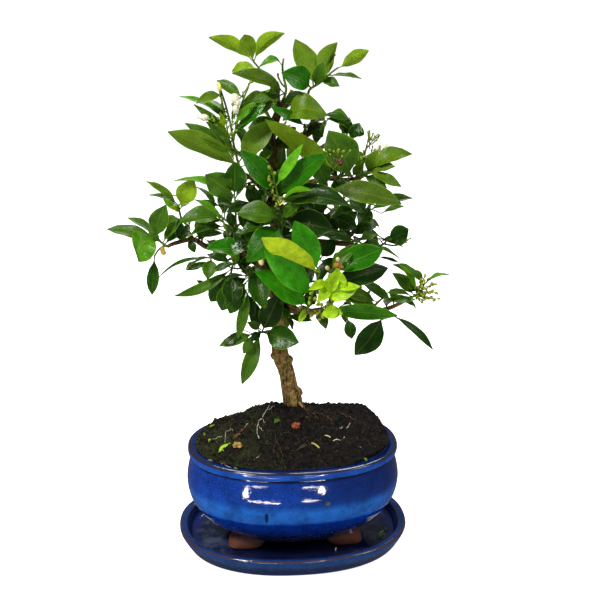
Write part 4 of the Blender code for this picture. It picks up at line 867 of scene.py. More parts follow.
           bud(WHITE, 1.2, (79, 378, 4), 3, on=1), bud(WHITE, 1.9, (104, 379, -2), 3.4)]),
    Spray("spray_right_middle", 2, [(27, 350, 9), (30, 345, 18)],
          [[(30, 345, 18), (33, 341, 25)], [(31, 343, 20), (44, 339, 17), (52, 338, 13)]],
          [leaf(DUSK, 0.9, (98, 326, 42), 20, 60, 8), leaf(DEEP, 2, (64, 319, 14), 14, 75, -2, on=1),
           leaf(DEEP, 0.5, (19, 369, 24), 16, 75)], []),
    Spray("spray_right_dangling", 2.2, [(45, 291, 8), (58, 305, 5), (66, 317, 2)],
          [[(66, 317, 2), (69, 323, 2), (70, 330, 1), (69, 337, 0)]],
          [leaf(MID, 0.5, (108, 331, 4), 12, 40, 5), leaf(DEEP, 0.3, (59, 308, 16), 14, 60),
           leaf(MID, 3, (82, 347, -6), 12, 50), leaf(DEEP, 2.6, (58, 346, -10), 12, 50)], []),
    Spray("spray_right_end", 3.4, [(-14, 296, -9), (15, 294, 3), (45, 291, 8), (68, 287, 8), (79, 288, 8)],
          [[(79, 288, 8), (84, 291, 9), (85, 296, 9)], [(82, 290, 9), (92, 288, 10), (100, 290, 10)]],
          [leaf(DEEP, 1.8, (105, 303, 12), 18, 75, 1, 2), leaf(DEEP, 1.5, (47, 303, -4), 10, 5, 3)],
          [bud(KNOB, 2, (104, 291, 10), 1.2, on=1), bud(KNOB, 1.4, (97, 297, 10), 1.2, on=1)]),
    Spray("spray_right_inner", 2, [(45, 291, 8), (52, 292, 18)],
          [[(52, 292, 18), (58, 293, 26), (64, 290, 30)]],
          [leaf(DEEP, 1, (26, 299, 38), 12, 40), leaf(MID, 1.2, (76, 299, 22), 9, 40),
           leaf(MID, 2, (97, 276, 26), 7, 10), leaf(DEEP, 1.7, (80, 287, 38), 10, 45)], []),
    Spray("spray_right_low", 2, [(70, 226, 15), (75, 231, 17)],
          [[(75, 231, 17), (80, 236, 18), (86, 241, 17)]],
          [leaf(MID, 0.7, (42, 246, 32), 12, 50, 3), leaf(DEEP, 2, (64, 253, 26), 10, 50),
           leaf(GRASS, 1.6, (113, 236, 26), 10, 30, -2)], []),
    Spray("spray_right_fan", 1.9, [(50, 227, 15), (56, 231, 14)],
          [[(56, 231, 14), (59, 237, 12)], [(57, 233, 14), (52, 227, 23), (50, 220, 26)]],
          [leaf(MID, 1, (40, 242, 6), 9, 10), leaf(DEEP, 0.8, (72, 240, 2), 8, 40),
           leaf(MID, 1, (55, 258, -4), 13, 60), leaf(DEEP, 1.9, (55, 200, 32), 11, 75, on=1)], []),
    Spray("spray_right_tip", 3.4,
          [(-13, 232, -13), (10, 228, 6), (40, 227, 14), (62, 226, 16), (82, 227, 14), (97, 232, 11),
           (107, 238, 9)], [[(107, 238, 9), (113, 240, 9), (118, 244, 9), (121, 251, 9)]],
          [leaf(MID, 3, (91, 270, 16), 11, 30, 3), leaf(MID, 0.9, (91, 262, 0), 13, 45),
           leaf(GRASS, 1.4, (97, 270, 24), 8, 40), leaf(GRASS, 2.9, (144, 259, 8), 7, 10, 3),
           leaf(MID, 0.5, (87, 243, 24), 9, 40)],
          [bud(KNOB, 3, (126, 257, 9), 1.6), bud(KNOB, 2.5, (132, 251, 8), 1.6),
           bud(KNOB, 2, (131, 243, 10), 1.7), bud(KNOB, 1.6, (127, 236, 12), 1.7),
           bud(KNOB, 2.2, (122, 247, 21), 1.6), bud(KNOB, 2.7, (117, 257, 16), 1.6),
           bud(KNOB, 1.7, (121, 239, 22), 1.6), bud(KNOB, 1.3, (112, 250, 14), 1.5)]),
    Spray("spray_right_hanging", 1.9, [(78, 227, 14), (80, 223, 18)],
          [[(80, 223, 18), (85, 222, 20), (91, 223, 21)]],
          [leaf(DARK, 2, (131, 187, 22), 8, 45, 6), leaf(DARK, 0.8, (58, 184, 30), 22, 75, 1, -2)], []),
    Spray("spray_inner_low", 2.4, [(-15, 264, -11), (2, 269, 2), (15, 272, 13)],
          [[(15, 272, 13), (22, 275, 19), (26, 278, 22)]],
          [leaf(DARK, 2, (38, 296, 26), 14, 60), leaf(DARK, 1.6, (43, 264, 28), 14, 60),
           leaf(DARK, 1, (8, 292, 20), 13, 50), leaf(DARK, 0.6, (6, 252, 24), 14, 70)], []),
    Spray("spray_inner_right", 2.4, [(-14, 312, -8), (4, 316, 0), (18, 320, 6)],
          [[(18, 320, 6), (28, 318, 12), (36, 316, 14)]],
          [leaf(DARK, 2, (58, 305, 22), 15, 70), leaf(DARK, 2, (54, 321, 8), 13, 60),
           leaf(DARK, 1.3, (38, 299, 22), 13, 70), leaf(DARK, 1, (20, 336, 18), 13, 60)], []),
    Spray("spray_inner_left", 2.2, [(-14, 320, -7), (-27, 323, 2)], [[(-27, 323, 2), (-34, 328, 8)]],
          [leaf(DARK, 1, (-38, 348, 12), 13, 60), leaf(DARK, 0.8, (-20, 342, 12), 13, 60),
           leaf(DARK, 1, (-58, 322, 14), 12, 60), leaf(DARK, 0.6, (-38, 304, 16), 14, 60)], []),
    Spray("spray_centre", 2, [(10, 388, -1), (12, 393, 8)],
          [[(12, 393, 8), (11, 399, 12)], [(12, 395, 9), (18, 402, 12), (22, 406, 13)]], [],
          [bud(KNOB, 2, (24, 410, 14), 1.3, on=1), bud(KNOB, 1.5, (28, 402, 18), 1.4, on=1)]),
]

# Shoots on the far side, which the front view hides: leaves set round them by the golden angle

RoundSpray = namedtuple("RoundSpray", "name wood shoot count long turn")
GOLDEN_ANGLE = math.radians(137.5)
ROUND_SPRAYS = [
    RoundSpray("spray_back_top", [(-18, 370, -9), (-17, 384, -20)],
               [(-17, 384, -20), (-16, 398, -27), (-13, 411, -32)], 5, 38, 0.3),
    RoundSpray("spray_back_upper_left", [(-13, 330, -7), (-25, 346, -20)],
               [(-25, 346, -20), (-36, 360, -32), (-43, 374, -42)], 5, 42, 1.1),
    RoundSpray("spray_back_upper_right", [(-15, 350, -8), (0, 358, -22)],
               [(0, 358, -22), (12, 368, -38), (21, 378, -50)], 5, 42, 2),
    RoundSpray("spray_back_high", [(-13, 312, -7), (-14, 326, -26), (-12, 338, -38)],
               [(-12, 338, -38), (-8, 350, -54), (-5, 365, -66)], 6, 42, 0.7),
    RoundSpray("spray_back_left", [(-15, 284, -9), (-31, 294, -20), (-45, 305, -34)],
               [(-45, 305, -34), (-58, 314, -48), (-68, 324, -58)], 5, 42, 1.7),
    RoundSpray("spray_back_right", [(-14, 298, -9), (8, 304, -20), (26, 314, -34)],
               [(26, 314, -34), (39, 324, -48), (49, 336, -58)], 6, 42, 2.6),
    RoundSpray("spray_back_middle", [(-15, 264, -11), (-15, 270, -32), (-11, 284, -52)],
               [(-11, 284, -52), (-6, 296, -70), (-2, 308, -88)], 6, 44, 0.2),
    RoundSpray("spray_back_low_left", [(-14, 240, -13), (-26, 250, -24), (-35, 260, -38)],
               [(-35, 260, -38), (-45, 270, -54), (-52, 282, -66)], 5, 40, 3.1),
    RoundSpray("spray_back_low_right", [(-13, 236, -14), (6, 238, -26), (18, 248, -40)],
               [(18, 248, -40), (31, 256, -58), (41, 264, -72)], 5, 40, 1.4),
    RoundSpray("spray_back_low", [(-12, 214, -16), (-14, 226, -30)],
               [(-14, 226, -30), (-13, 238, -46), (-10, 244, -62)], 5, 40, 2.2),
]


def places(route):
    return [seen(*point) for point in route]


class Sketch:
    """Points and edges with values on each point, which a node tree then grows a piece from."""

    def __init__(self, *names):
        self.points = []
        self.edges = []
        self.values = {name: [] for name in names}

    def point(self, place, **values):
        self.points.append(Vector(place) * MM)
        for name, column in self.values.items():
            column.append(values.get(name, 0.0))

    def line(self, route, radii, **values):
        first = len(self.points)
        for place, radius in zip(route, radii):
            self.point(place, radius=radius * MM, **values)
        self.edges += [(first + step, first + step + 1) for step in range(len(route) - 1)]

    def tube(self, route, radii, per_span, **values):
        """Smooth line through the given places, whose radius flows too."""
        widths = flowing([Vector((radius, 0.0, 0.0)) for radius in radii], per_span)
        self.line(flowing(route, per_span), [width.x for width in widths], **values)

    def mesh(self, name):
        made = bpy.data.meshes.new(name)
        made.from_pydata(self.points, self.edges, [])
        for key, column in self.values.items():
            wide = any(isinstance(value, (Vector, tuple)) for value in column)
            attribute = made.attributes.new(key, "FLOAT_VECTOR" if wide else "FLOAT", "POINT")
            for item, value in zip(attribute.data, column):
                if wide:
                    item.vector = tuple(value)[:3] if value else (0.0, 0.0, 0.0)
                else:
                    item.value = value
        return made


def named(sums, key, kind="FLOAT"):
    return sums.node("GeometryNodeInputNamedAttribute", {"Name": key}, data_type=kind)


def tube_round(sums, curves, sides):
    profile = sums.node("GeometryNodeCurvePrimitiveCircle", {"Resolution": sides, "Radius": 1.0})
    return sums.node("GeometryNodeCurveToMesh", {"Curve": curves, "Profile Curve": profile,
                                                 "Scale": named(sums, "radius"), "Fill Caps": True})


def wood_tree():
    """Tree that draws tubes along the sketch and grooves their bark lengthwise, deeper on thick wood."""
    tree, sums, given, result = new_node_tree("wood", {"Groove": ("Float", 0.15),
                                                       "Material": ("Material", None)})
    curves = sums.node("GeometryNodeMeshToCurve", {0: given["Geometry"]})
    stems = sums.tree.nodes.new("GeometryNodeSeparateGeometry")
    stems.domain = "CURVE"
    sums.feed(stems.inputs[0], curves)
    sums.feed(stems.inputs[1], sums.sum("GREATER_THAN", named(sums, "stout"), 0.5))
    both = sums.together(tube_round(sums, stems.outputs[0], STOUT_SIDES),
                         tube_round(sums, stems.outputs[1], THIN_SIDES))
    drawn_out = sums.vector("MULTIPLY", sums.node("GeometryNodeInputPosition"), GRAIN_STRETCH)
    ridges = sums.noise(drawn_out, 420.0, 3.0, 0.6)
    plates = sums.noise(drawn_out, 170.0, 2.0, 0.5)
    height = sums.plus(sums.times_plus(ridges, 1.0, -0.5), sums.times_plus(plates, 1.4, -0.7))
    radius = named(sums, "radius")
    out = sums.scaled(sums.node("GeometryNodeInputNormal"),
                      sums.times(sums.times(height, radius), given["Groove"]))
    moved = sums.node("GeometryNodeSetPosition", {"Geometry": both, "Offset": out})
    sums.finish(result, moved, given["Material"])
    return tree


def taper(thick, thin, count):
    return [thick + (thin - thick) * step / (count - 1) for step in range(count)]


wood = Sketch("radius", "stout")
trunk_route = [trunk_foot - Vector((0.0, 0.0, PLUG_DEPTH))] + places([point for point, _ in TRUNK])
wood.tube(trunk_route, [PLUG_RADIUS] + [radius for _, radius in TRUNK], 16, stout=1.0)
wood.tube(places([point for point, _ in STUB]), [radius for _, radius in STUB], 8, stout=1.0)
for start, end, radius in KNOTS:
    start, end = places([start, end])
    shares = [step / KNOT_STEPS for step in range(KNOT_STEPS + 1)]
    wood.line([start.lerp(end, share) for share in shares],
              [radius * math.sqrt(1.02 - share ** 2) for share in shares], stout=1.0)
for start, middle, end, radius in ROOTS:
    wood.tube(places([start, middle, end]), [radius * share for share in ROOT_TAPER], 9, stout=1.0)
for spray in SPRAYS + ROUND_SPRAYS:
    thick = BACK_WOOD_RADIUS if isinstance(spray, RoundSpray) else spray.thick
    wood.tube(places(spray.wood), taper(thick, WOOD_END_RADIUS, len(spray.wood)), 9)
bark, sums, shader, place = solid_like("bark", (rgb(106, 84, 48), rgb(180, 148, 92)), 300.0, 0.85, 0.0008)
stretched = sums.vector("MULTIPLY", place, (1.0, 1.0, 0.12))
fissure = sums.ramp(sums.noise(stretched, 420.0, 4.0, 0.65), 0.49, 0.38)
tan = shader.inputs["Base Color"].links[0].from_socket
height = sums.split(place)[2]
streak = sums.ramp(sums.noise(stretched, 130.0, 2.0), 0.52, 0.66)
tan = sums.laid(tan, rgb(140, 136, 60), streak, 0.5)
tan = sums.laid(tan, rgb(34, 22, 14), fissure, 0.88)
tan = sums.laid(tan, rgb(92, 48, 32), sums.band(height, 0.176, 0.184, 0.192, 0.2), 0.45)
# Painted shade: from 205 mm up the bark is darkened, where the trunk runs inside the crown; the cut stub
# above 426 mm is then made reddish brown.
tan = sums.laid(tan, rgb(44, 34, 22), sums.ramp(height, 0.205, 0.26), 0.72)
tan = sums.laid(tan, rgb(150, 74, 44), sums.ramp(height, 0.426, 0.4266), 0.8)
sums.feed(shader.inputs["Base Color"], tan)
grow_wood = wood_tree()


def woody(name, sketch, material):
    """Wood grown from a sketch."""
    piece = grown(place_in_scene(name, sketch.mesh(name)), grow_wood, Material=material)
    piece.data.shade_smooth()
    return piece


trunk = woody("bark_and_branches", wood, bark)
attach(trunk, "root")
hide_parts("trunk_and_branches")

# Sprays.  Each is one leafy shoot of the tree: a green stem with glossy leaves on short stalks, and on some
# of them buds, spent flowers or small fruits.  One piece is grown for each of the part's own sprays.

STALK_SHARE = 0.14
STALK_LONGEST = 6.0
STALK_RINGS = 0.125
BENDS = (0.0, 7.0, -7.0, 14.0, -14.0, 21.0, -21.0, 30.0, -30.0, 40.0, -40.0, 52.0, -52.0)
TURNS = (0.0, 14.0, -14.0, 28.0, -28.0, 42.0, -42.0, 60.0, -60.0, 80.0, -80.0)
LEAF_OUTLINE = [(0.0, 0.07), (0.08, 0.36), (0.26, 0.82), (0.5, 1.0), (0.75, 0.76), (0.9, 0.38), (1.0, 0.03)]
KIND_LEAF, KIND_BUD, KIND_MARGIN = 1.0, 2.0, 0.1
STALK_HALF_WIDTH = 0.55
EDGE_WAVES = 13.0
WAVE_LEAST, WAVE_MORE = 0.05, 0.09
TWIST_MOST, TWIST_FROM = 1.1, 0.35
CRISP_ANGLE = 1.2
STEM_SIDES = 8
LAST_SEAT = 1.12  # from the count of a shoot's points down to its last place for a leaf
STALK_RADIUS, STALK_END = 0.45, 0.85
LEAF_SPECULAR = 0.24
LEAF_GLOW, LEAF_GLOW_COLOUR, LEAF_GLOW_DEPTH = 0.15, (0.5, 1.0, 0.2), 0.002
SIDE_SHOOT_RADIUS, SHOOT_END_RADIUS = 0.9, 0.8
FOLDS = (0.28, 0.6)
BUD_LENGTH, BUD_SIZE = 1.6, 0.85
SPREAD_FOOT, SPREAD_LOSS = 70.0, 40.0
ROUND_WIDTH = 0.42
ROUND_TONES = (DEEP, MID, DARK, GRASS)
SPRAY_VALUES = ("radius", "kind", "base", "way", "normal", "size", "tone", "seed", "form")


def spray_tree():
    """Tree that grows stems, leaves and buds from the points of a spray's sketch."""
    tree, sums, given, result = new_node_tree("spray", {
        "Sides": ("Int", 12), "Rings": ("Int", 18), "Thickness": ("Float", 0.28), "Leaf": ("Material", None),
        "Stem": ("Material", None), "Bud": ("Material", None)})
    sketch = given["Geometry"]
    kind = named(sums, "kind")

    # Unit blade: a closed tube of rings along z, whose x runs across the leaf and whose y is its upper side
    blade = sums.node("GeometryNodeMeshCylinder", {
        "Vertices": given["Sides"], "Side Segments": given["Rings"], "Radius": 1.0, "Depth": 1.0})
    place = sums.split(sums.node("GeometryNodeInputPosition"))
    cell = sums.joined(sums.plus(place[2], 0.5), place[0], place[1])
    blade = sums.node("GeometryNodeStoreNamedAttribute", {"Geometry": blade, "Name": "cell", "Value": cell},
                      data_type="FLOAT_VECTOR")
    copies = sums.node("GeometryNodeInstanceOnPoints", {
        "Points": sketch, "Selection": sums.sum("COMPARE", kind, KIND_LEAF, KIND_MARGIN), "Instance": blade})
    leaves = sums.node("GeometryNodeRealizeInstances", {0: copies})
    ring, across, upper = sums.split(named(sums, "cell", "FLOAT_VECTOR"))
    width, arch, bow = sums.split(named(sums, "size", "FLOAT_VECTOR"))
    folding, twist, waving = sums.split(named(sums, "form", "FLOAT_VECTOR"))
    way, normal = named(sums, "way", "FLOAT_VECTOR"), named(sums, "normal", "FLOAT_VECTOR")
    side = sums.vector("NORMALIZE", sums.vector("CROSS_PRODUCT", way, normal))
    long = sums.vector("LENGTH", way)
    stalk = sums.over(sums.sum("MINIMUM", STALK_LONGEST * MM, sums.times(long, STALK_SHARE)), long)
    on_blade = sums.over(sums.minus(ring, STALK_RINGS), 1.0 - STALK_RINGS, clamp=True)
    on_stalk = sums.over(ring, STALK_RINGS, clamp=True)
    share = sums.plus(sums.times(stalk, on_stalk), sums.times(sums.minus(1.0, stalk), on_blade))
    outline = sums.tree.nodes.new("ShaderNodeFloatCurve")
    curve = outline.mapping.curves[0]
    for index, (at, wide) in enumerate(LEAF_OUTLINE):
        if 0 < index < len(LEAF_OUTLINE) - 1:
            curve.points.new(at, wide)
    curve.points[0].location = LEAF_OUTLINE[0]
    curve.points[-1].location = LEAF_OUTLINE[-1]
    outline.mapping.update()
    sums.feed(outline.inputs["Value"], on_blade)
    half = sums.times(sums.times(width, 0.5), outline.outputs[0])
    half = sums.sum("MAXIMUM", half, STALK_HALF_WIDTH * MM)
    hump = sums.times(sums.times(share, 4.0), sums.minus(1.0, share))
    flat = sums.sum("GREATER_THAN", on_blade, 0.001)
    off = sums.sum("ABSOLUTE", across)
    rounded = sums.times(off, sums.times_plus(off, -0.35, 1.35))
    fold = sums.times(sums.times(rounded, half), sums.times(flat, folding))
    start = sums.times(named(sums, "seed"), 6.3)
    turn = sums.plus(sums.times_plus(on_blade, EDGE_WAVES, start), sums.times(across, 1.4))
    wave = sums.times(sums.times(sums.sum("SINE", turn), sums.times(across, across)),
                      sums.times(half, waving))
    thick = sums.between(flat, STALK_HALF_WIDTH * MM, sums.times(given["Thickness"], MM))
    thick = sums.times(upper, thick)
    lift = sums.plus(sums.plus(fold, sums.times(wave, flat)), thick)
    reach = sums.times(across, half)
    turned = sums.times(twist, sums.minus(on_blade, TWIST_FROM))
    sine, cosine = sums.sum("SINE", turned), sums.sum("COSINE", turned)
    rise = sums.plus(sums.plus(sums.times(reach, sine), sums.times(lift, cosine)), sums.times(arch, hump))
    sway = sums.plus(sums.minus(sums.times(reach, cosine), sums.times(lift, sine)), sums.times(bow, hump))
    shift = sums.vector("ADD", sums.vector("ADD", sums.scaled(way, share), sums.scaled(normal, rise)),
                        sums.scaled(side, sway))
    spot = sums.vector("ADD", named(sums, "base", "FLOAT_VECTOR"), shift)
    leaves = sums.node("GeometryNodeSetPosition", {"Geometry": leaves, "Position": spot})

    stems = tube_round(sums, sums.node("GeometryNodeMeshToCurve", {0: sketch}), STEM_SIDES)

    ball = sums.node("GeometryNodeMeshUVSphere", {"Segments": 10, "Rings": 7, "Radius": 1.0})
    heading = sums.node("FunctionNodeAlignRotationToVector", {"Vector": way}, axis="Z")
    buds = sums.node("GeometryNodeInstanceOnPoints", {
        "Points": sketch, "Selection": sums.sum("COMPARE", kind, KIND_BUD, KIND_MARGIN), "Instance": ball,
        "Rotation": heading, "Scale": sums.joined(width, width, sums.times(width, arch))})

    whole = sums.together(sums.painted(leaves, given["Leaf"]), sums.painted(stems, given["Stem"]),
                          sums.painted(buds, given["Bud"]))
    real = sums.node("GeometryNodeRealizeInstances", {0: whole})
    smooth = sums.node("GeometryNodeSetShadeSmooth", {"Geometry": real, "Shade Smooth": True})
    crisp = sums.sum("GREATER_THAN", sums.node("GeometryNodeInputMeshEdgeAngle"), CRISP_ANGLE)
    sums.feed(result, sums.node("GeometryNodeSetShadeSmooth", {
        "Geometry": smooth, "Selection": crisp, "Shade Smooth": False}, domain="EDGE"))
    return tree


def along_shoot(route, along):
    """Point on a shoot, counted in its stretches and kept a little short of its end."""
    along = min(along, len(route) - LAST_SEAT)
    index = int(along)
    return route[index].lerp(route[index + 1], along - index)


def nearest_kept(tips, corners):
    """The tip, of those tried in turn, at which the part's own leaf ends."""
    return min(tips, key=lambda tip: round(corners.find(tip)[2], 1))


def add_leaf(sketch, base, tip, tone, width, face, arch, bow, seed, fold):
    way = tip - base
    tilt = math.radians(face)
    upward = Vector((0.0, -math.sin(tilt), math.cos(tilt)))
    unit = way.normalized()
    normal = (upward - unit * upward.dot(unit)).normalized()
    sketch.point(base, kind=KIND_LEAF, base=base * MM, way=way * MM, normal=normal, tone=tone[:3],
                 size=(width * MM, arch * MM, bow * MM), seed=seed,
                 form=(fold, TWIST_MOST * (seed - 0.5), WAVE_LEAST + WAVE_MORE * ((seed * 7.0) % 1.0)))


def add_bud(sketch, place, way, radius, stretch, tone):
    sketch.point(place, kind=KIND_BUD, way=way, size=(radius * MM, stretch, 0.0), tone=tone[:3])


def add_stem(sketch, base, tip, thick=STALK_RADIUS, sag=0.0):
    """Thin stalk that bends a little on its way."""
    middle = base.lerp(tip, 0.5) + Vector((0.0, 0.0, -sag))
    sketch.tube([base, middle, tip], [thick, thick, thick * STALK_END], 4)


def leaf_skin(glare_centre):
    """Leaf: glossy above, pale and matt below, with pale veins, a yellow-green edge and one painted glare
    highlight.
    """
    material, sums, shader = new_material("leaf_skin")
    cell = sums.node("ShaderNodeAttribute", output="Vector", attribute_name="cell")
    on_blade, across, upper = sums.split(cell)
    tone = sums.node("ShaderNodeAttribute", attribute_name="tone")
    place = sums.object_place()
    off = sums.sum("ABSOLUTE", across)
    below = sums.ramp(upper, 0.02, -0.02)
    patch = sums.ramp(sums.noise(place, 130.0, 3.0), 0.35, 0.7)
    colour = sums.laid(tone, rgb(22, 56, 8), patch, 0.4)
    grain = sums.ramp(sums.noise(place, 700.0, 2.0), 0.4, 0.7)
    colour = sums.laid(colour, rgb(14, 46, 4), grain, 0.24)
    midrib = sums.ramp(off, 0.07, 0.02)
    slant = sums.sum("SINE", sums.times(sums.minus(on_blade, sums.times(off, 0.14)), 75.0))
    veins = sums.times(sums.ramp(slant, 0.8, 1.0), sums.ramp(off, 0.95, 0.5))
    lines = sums.sum("MAXIMUM", midrib, sums.times(veins, 0.12))
    paler = sums.mix(0.3, tone, rgb(172, 198, 44))
    colour = sums.laid(colour, paler, lines, 0.38)
    colour = sums.laid(colour, rgb(146, 184, 22), sums.ramp(off, 0.955, 0.985), 0.5)
    colour = sums.laid(colour, rgb(108, 136, 10), below, 0.3)
    # Painted highlight: a mottled white glare on one front leaf, round the given place.
    away = sums.vector("MULTIPLY", sums.vector("SUBTRACT", place, tuple(glare_centre * MM)), (1.0, 0.3, 1.0))
    near = sums.ramp(sums.vector("LENGTH", away), 0.0075, 0.004)
    painted_glare = sums.times(near, sums.ramp(sums.noise(place, 420.0, 3.0), 0.46, 0.56))
    sums.feed(shader.inputs["Base Color"], sums.laid(colour, rgb(214, 224, 214), painted_glare, 0.85))
    red, green = [sums.node("ShaderNodeSeparateColor", {0: tone}, output) for output in ("Red", "Green")]
    matt = sums.ramp(sums.over(red, green), 0.16, 0.42)
    rough = sums.plus(sums.times_plus(matt, 0.2, 0.21), sums.times(below, 0.3))
    sums.feed(shader.inputs["Roughness"], rough)
    shader.inputs["Specular IOR Level"].default_value = LEAF_SPECULAR
    shader.inputs["Subsurface Weight"].default_value = LEAF_GLOW
    shader.inputs["Subsurface Radius"].default_value = LEAF_GLOW_COLOUR
    shader.inputs["Subsurface Scale"].default_value = LEAF_GLOW_DEPTH
    height = sums.plus(sums.times(lines, -0.6), sums.noise(place, 500.0, 2.0))
    relief(sums, shader, height, 0.0004)
    return material


# The place given is where the painted glare highlight lies.
leaf_material = leaf_skin(seen(-48.0, 291.0, 40.0))
stem_material = solid_like("stem_skin", (rgb(58, 92, 30), rgb(104, 132, 46)), 200.0, 0.45, 0.0001)[0]
bud_material, sums, shader = new_material("bud_skin")
place = sums.object_place()
shade = sums.ramp(sums.noise(place, 800.0, 3.0), 0.42, 0.68)
bud_tone = sums.node("ShaderNodeAttribute", attribute_name="tone")
sums.feed(shader.inputs["Base Color"], sums.laid(bud_tone, rgb(112, 96, 34), shade, 0.3))
shader.inputs["Roughness"].default_value = 0.45
relief(sums, shader, sums.noise(place, 900.0, 2.0), 0.0004)
grow_spray = spray_tree()
chance = random.Random(41)


def leafy(name, sketch, **settings):
    """Stems, leaves and buds grown from a sketch."""
    return grown(place_in_scene(name, sketch.mesh(name)), grow_spray, Leaf=leaf_material, Stem=stem_material,
                 Bud=bud_material, **settings)


def finish_spray(name, sketch):
    piece = leafy(name.replace("spray", "leaves"), sketch)
    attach(piece, "root")
    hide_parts(name)


def nearest_of(points):
    """Search tree that finds the nearest of the points."""
    tree = KDTree(len(points))
    for index, point in enumerate(points):
        tree.insert(point, index)
    tree.balance()
    return tree


def corners_of(name):
    """Corner points of one of the part's own solids, in millimetres."""
    solid = bpy.data.objects[name]
    return nearest_of([solid.matrix_world @ vertex.co / MM for vertex in solid.data.vertices])


def round_about(way, angle):
    """Direction square to a way and turned round it."""
    out = way.orthogonal().normalized()
    out.rotate(Matrix.Rotation(angle, 3, way))
    return out


for spray in SPRAYS:
    sketch = Sketch(*SPRAY_VALUES)
    corners = corners_of(spray.name)
    routes = [places(route) for route in spray.shoots]
    for number, route in enumerate(routes):
        thick = SHOOT_RADIUS if number == 0 else SIDE_SHOOT_RADIUS
        sketch.tube(route, taper(thick, SHOOT_END_RADIUS, len(route)), 6)
    for item in spray.leaves:
        base = along_shoot(routes[item.on], item.along)
        across, up, toward = item.tip
        tip = nearest_kept([seen(across, up, toward + bend) for bend in BENDS], corners)
        add_leaf(sketch, base, tip, item.tone, item.width, item.face, item.arch, item.bow, chance.random(),
                 chance.uniform(*FOLDS))
    for item in spray.buds:
        base, tip = along_shoot(routes[item.on], item.along), seen(*item.tip)
        add_stem(sketch, base, base.lerp(tip, 0.7))
        add_bud(sketch, base.lerp(tip, 0.75), tip - base, item.radius * BUD_SIZE, BUD_LENGTH, item.tone)
    finish_spray(spray.name, sketch)

for spray in ROUND_SPRAYS:
    sketch = Sketch(*SPRAY_VALUES)
    corners = corners_of(spray.name)
    route = places(spray.shoot)
    sketch.tube(route, taper(SHOOT_RADIUS, SHOOT_END_RADIUS, len(route)), 6)
    heading = (route[-1] - route[0]).normalized()
    for number in range(spray.count):
        share = (number + 1.0) / spray.count
        base = along_shoot(route, share * (len(route) - 1))
        spread = math.radians(SPREAD_FOOT - SPREAD_LOSS * share)
        out = round_about(heading, spray.turn + number * GOLDEN_ANGLE)
        long = spray.long * (0.86 + 0.14 * math.cos(2.3 * number))
        tips = []
        for turn in TURNS:
            way = heading * math.cos(spread) + out * math.sin(spread)
            way.rotate(Matrix.Rotation(math.radians(turn), 3, heading))
            tips.append(base + way * long)
        add_leaf(sketch, base, nearest_kept(tips, corners), ROUND_TONES[number % 4], long * ROUND_WIDTH, 0.0,
                 3.0, 0.0, chance.random(), chance.uniform(*FOLDS))
    finish_spray(spray.name, sketch)

# Flowers and fruits.  The tree is in bloom: thin green stalks with knobs of closed buds, forked stalks that
# have lost their flowers, and a dark red calyx.  They grow from the tips of the shoots.

FLOWER_STEMS = [  # start, end, number of knobs, knob radius, tone
    ((-51, 369, 12), (-56, 396, 18), 8, 1.5, LIME), ((-53, 384, 14), (-46, 404, 24), 6, 1.4, LIME),
    ((-20.5, 357, 47), (-13.5, 325, 36), 13, 1.25, KNOB), ((-45, 421, 17), (-35.5, 435, 17), 6, 1, GRASS),
    ((-57.3, 406.8, 11), (-62, 430, 12), 5, 1, LIME), ((-61, 396, 17), (-70, 404, 22), 3, 1.5, LIME),
    ((-52, 402, 20), (-48, 414, 30), 3, 1.2, LIME), ((27.5, 392.5, 14), (28, 404.5, 18), 5, 1.2, LIME),
    ((17.8, 398.8, 12), (19.3, 412, 14), 4, 1, LIME), ((9, 390, 6), (12, 398, 12), 3, 1, GRASS),
    ((67.9, 376, 7), (68.2, 391, 6), 5, 1.2, KNOB), ((69, 381, 6), (74.5, 388.5, 8), 3, 1, KNOB),
    ((70, 380, 6), (76, 386, 8), 2, 1, KNOB), ((61, 362, 8), (63.5, 373, 8), 5, 1.3, LIME),
    ((30, 372, 34), (31, 383, 30), 3, 1.2, LIME), ((114, 241, 9), (131, 243, 14), 5, 1.5, KNOB),
    ((116, 243, 10), (130, 251, 14), 5, 1.5, KNOB), ((117, 240, 12), (129, 236, 16), 5, 1.4, KNOB),
    ((114, 245, 10), (121, 257, 14), 4, 1.4, KNOB), ((112, 242, 10), (118, 234, 12), 3, 1.4, KNOB),
    ((28, 230, 48), (22, 238, 58), 4, 1.6, KNOB), ((30, 229, 50), (37, 238, 62), 5, 1.5, KNOB),
    ((28, 230, 46), (17, 224, 54), 4, 1.4, KNOB), ((28, 230, 46), (26, 220, 54), 3, 1.4, KNOB),
    ((-52.5, 390.3, 14), (-50.2, 419, 20), 8, 1.1, LIME), ((-59, 400, 14), (-68.5, 407, 22), 4, 1.3, LIME),
    ((-56, 396, 12), (-62, 427, 16), 8, 1, LIME), ((-48, 408, 16), (-46.5, 424, 22), 5, 1.3, YOUNG),
    ((73, 362, 8), (77, 377, 8), 4, 1.2, KNOB), ((66, 360, 8), (71, 377, 8), 5, 1.3, KNOB),
    ((111, 240, 10), (133.8, 236.1, 14), 6, 1.3, KNOB), ((113, 243, 10), (118.5, 250, 14), 4, 1.4, KNOB),
    ((112, 241, 12), (125.2, 243.1, 18), 5, 1.3, KNOB), ((111, 240, 12), (120.8, 235.5, 18), 4, 1.3, KNOB),
    ((20, 250, 52), (15, 238, 56), 3, 1.6, LIME), ((97, 290, 10), (106, 294, 10), 3, 1.1, KNOB)]
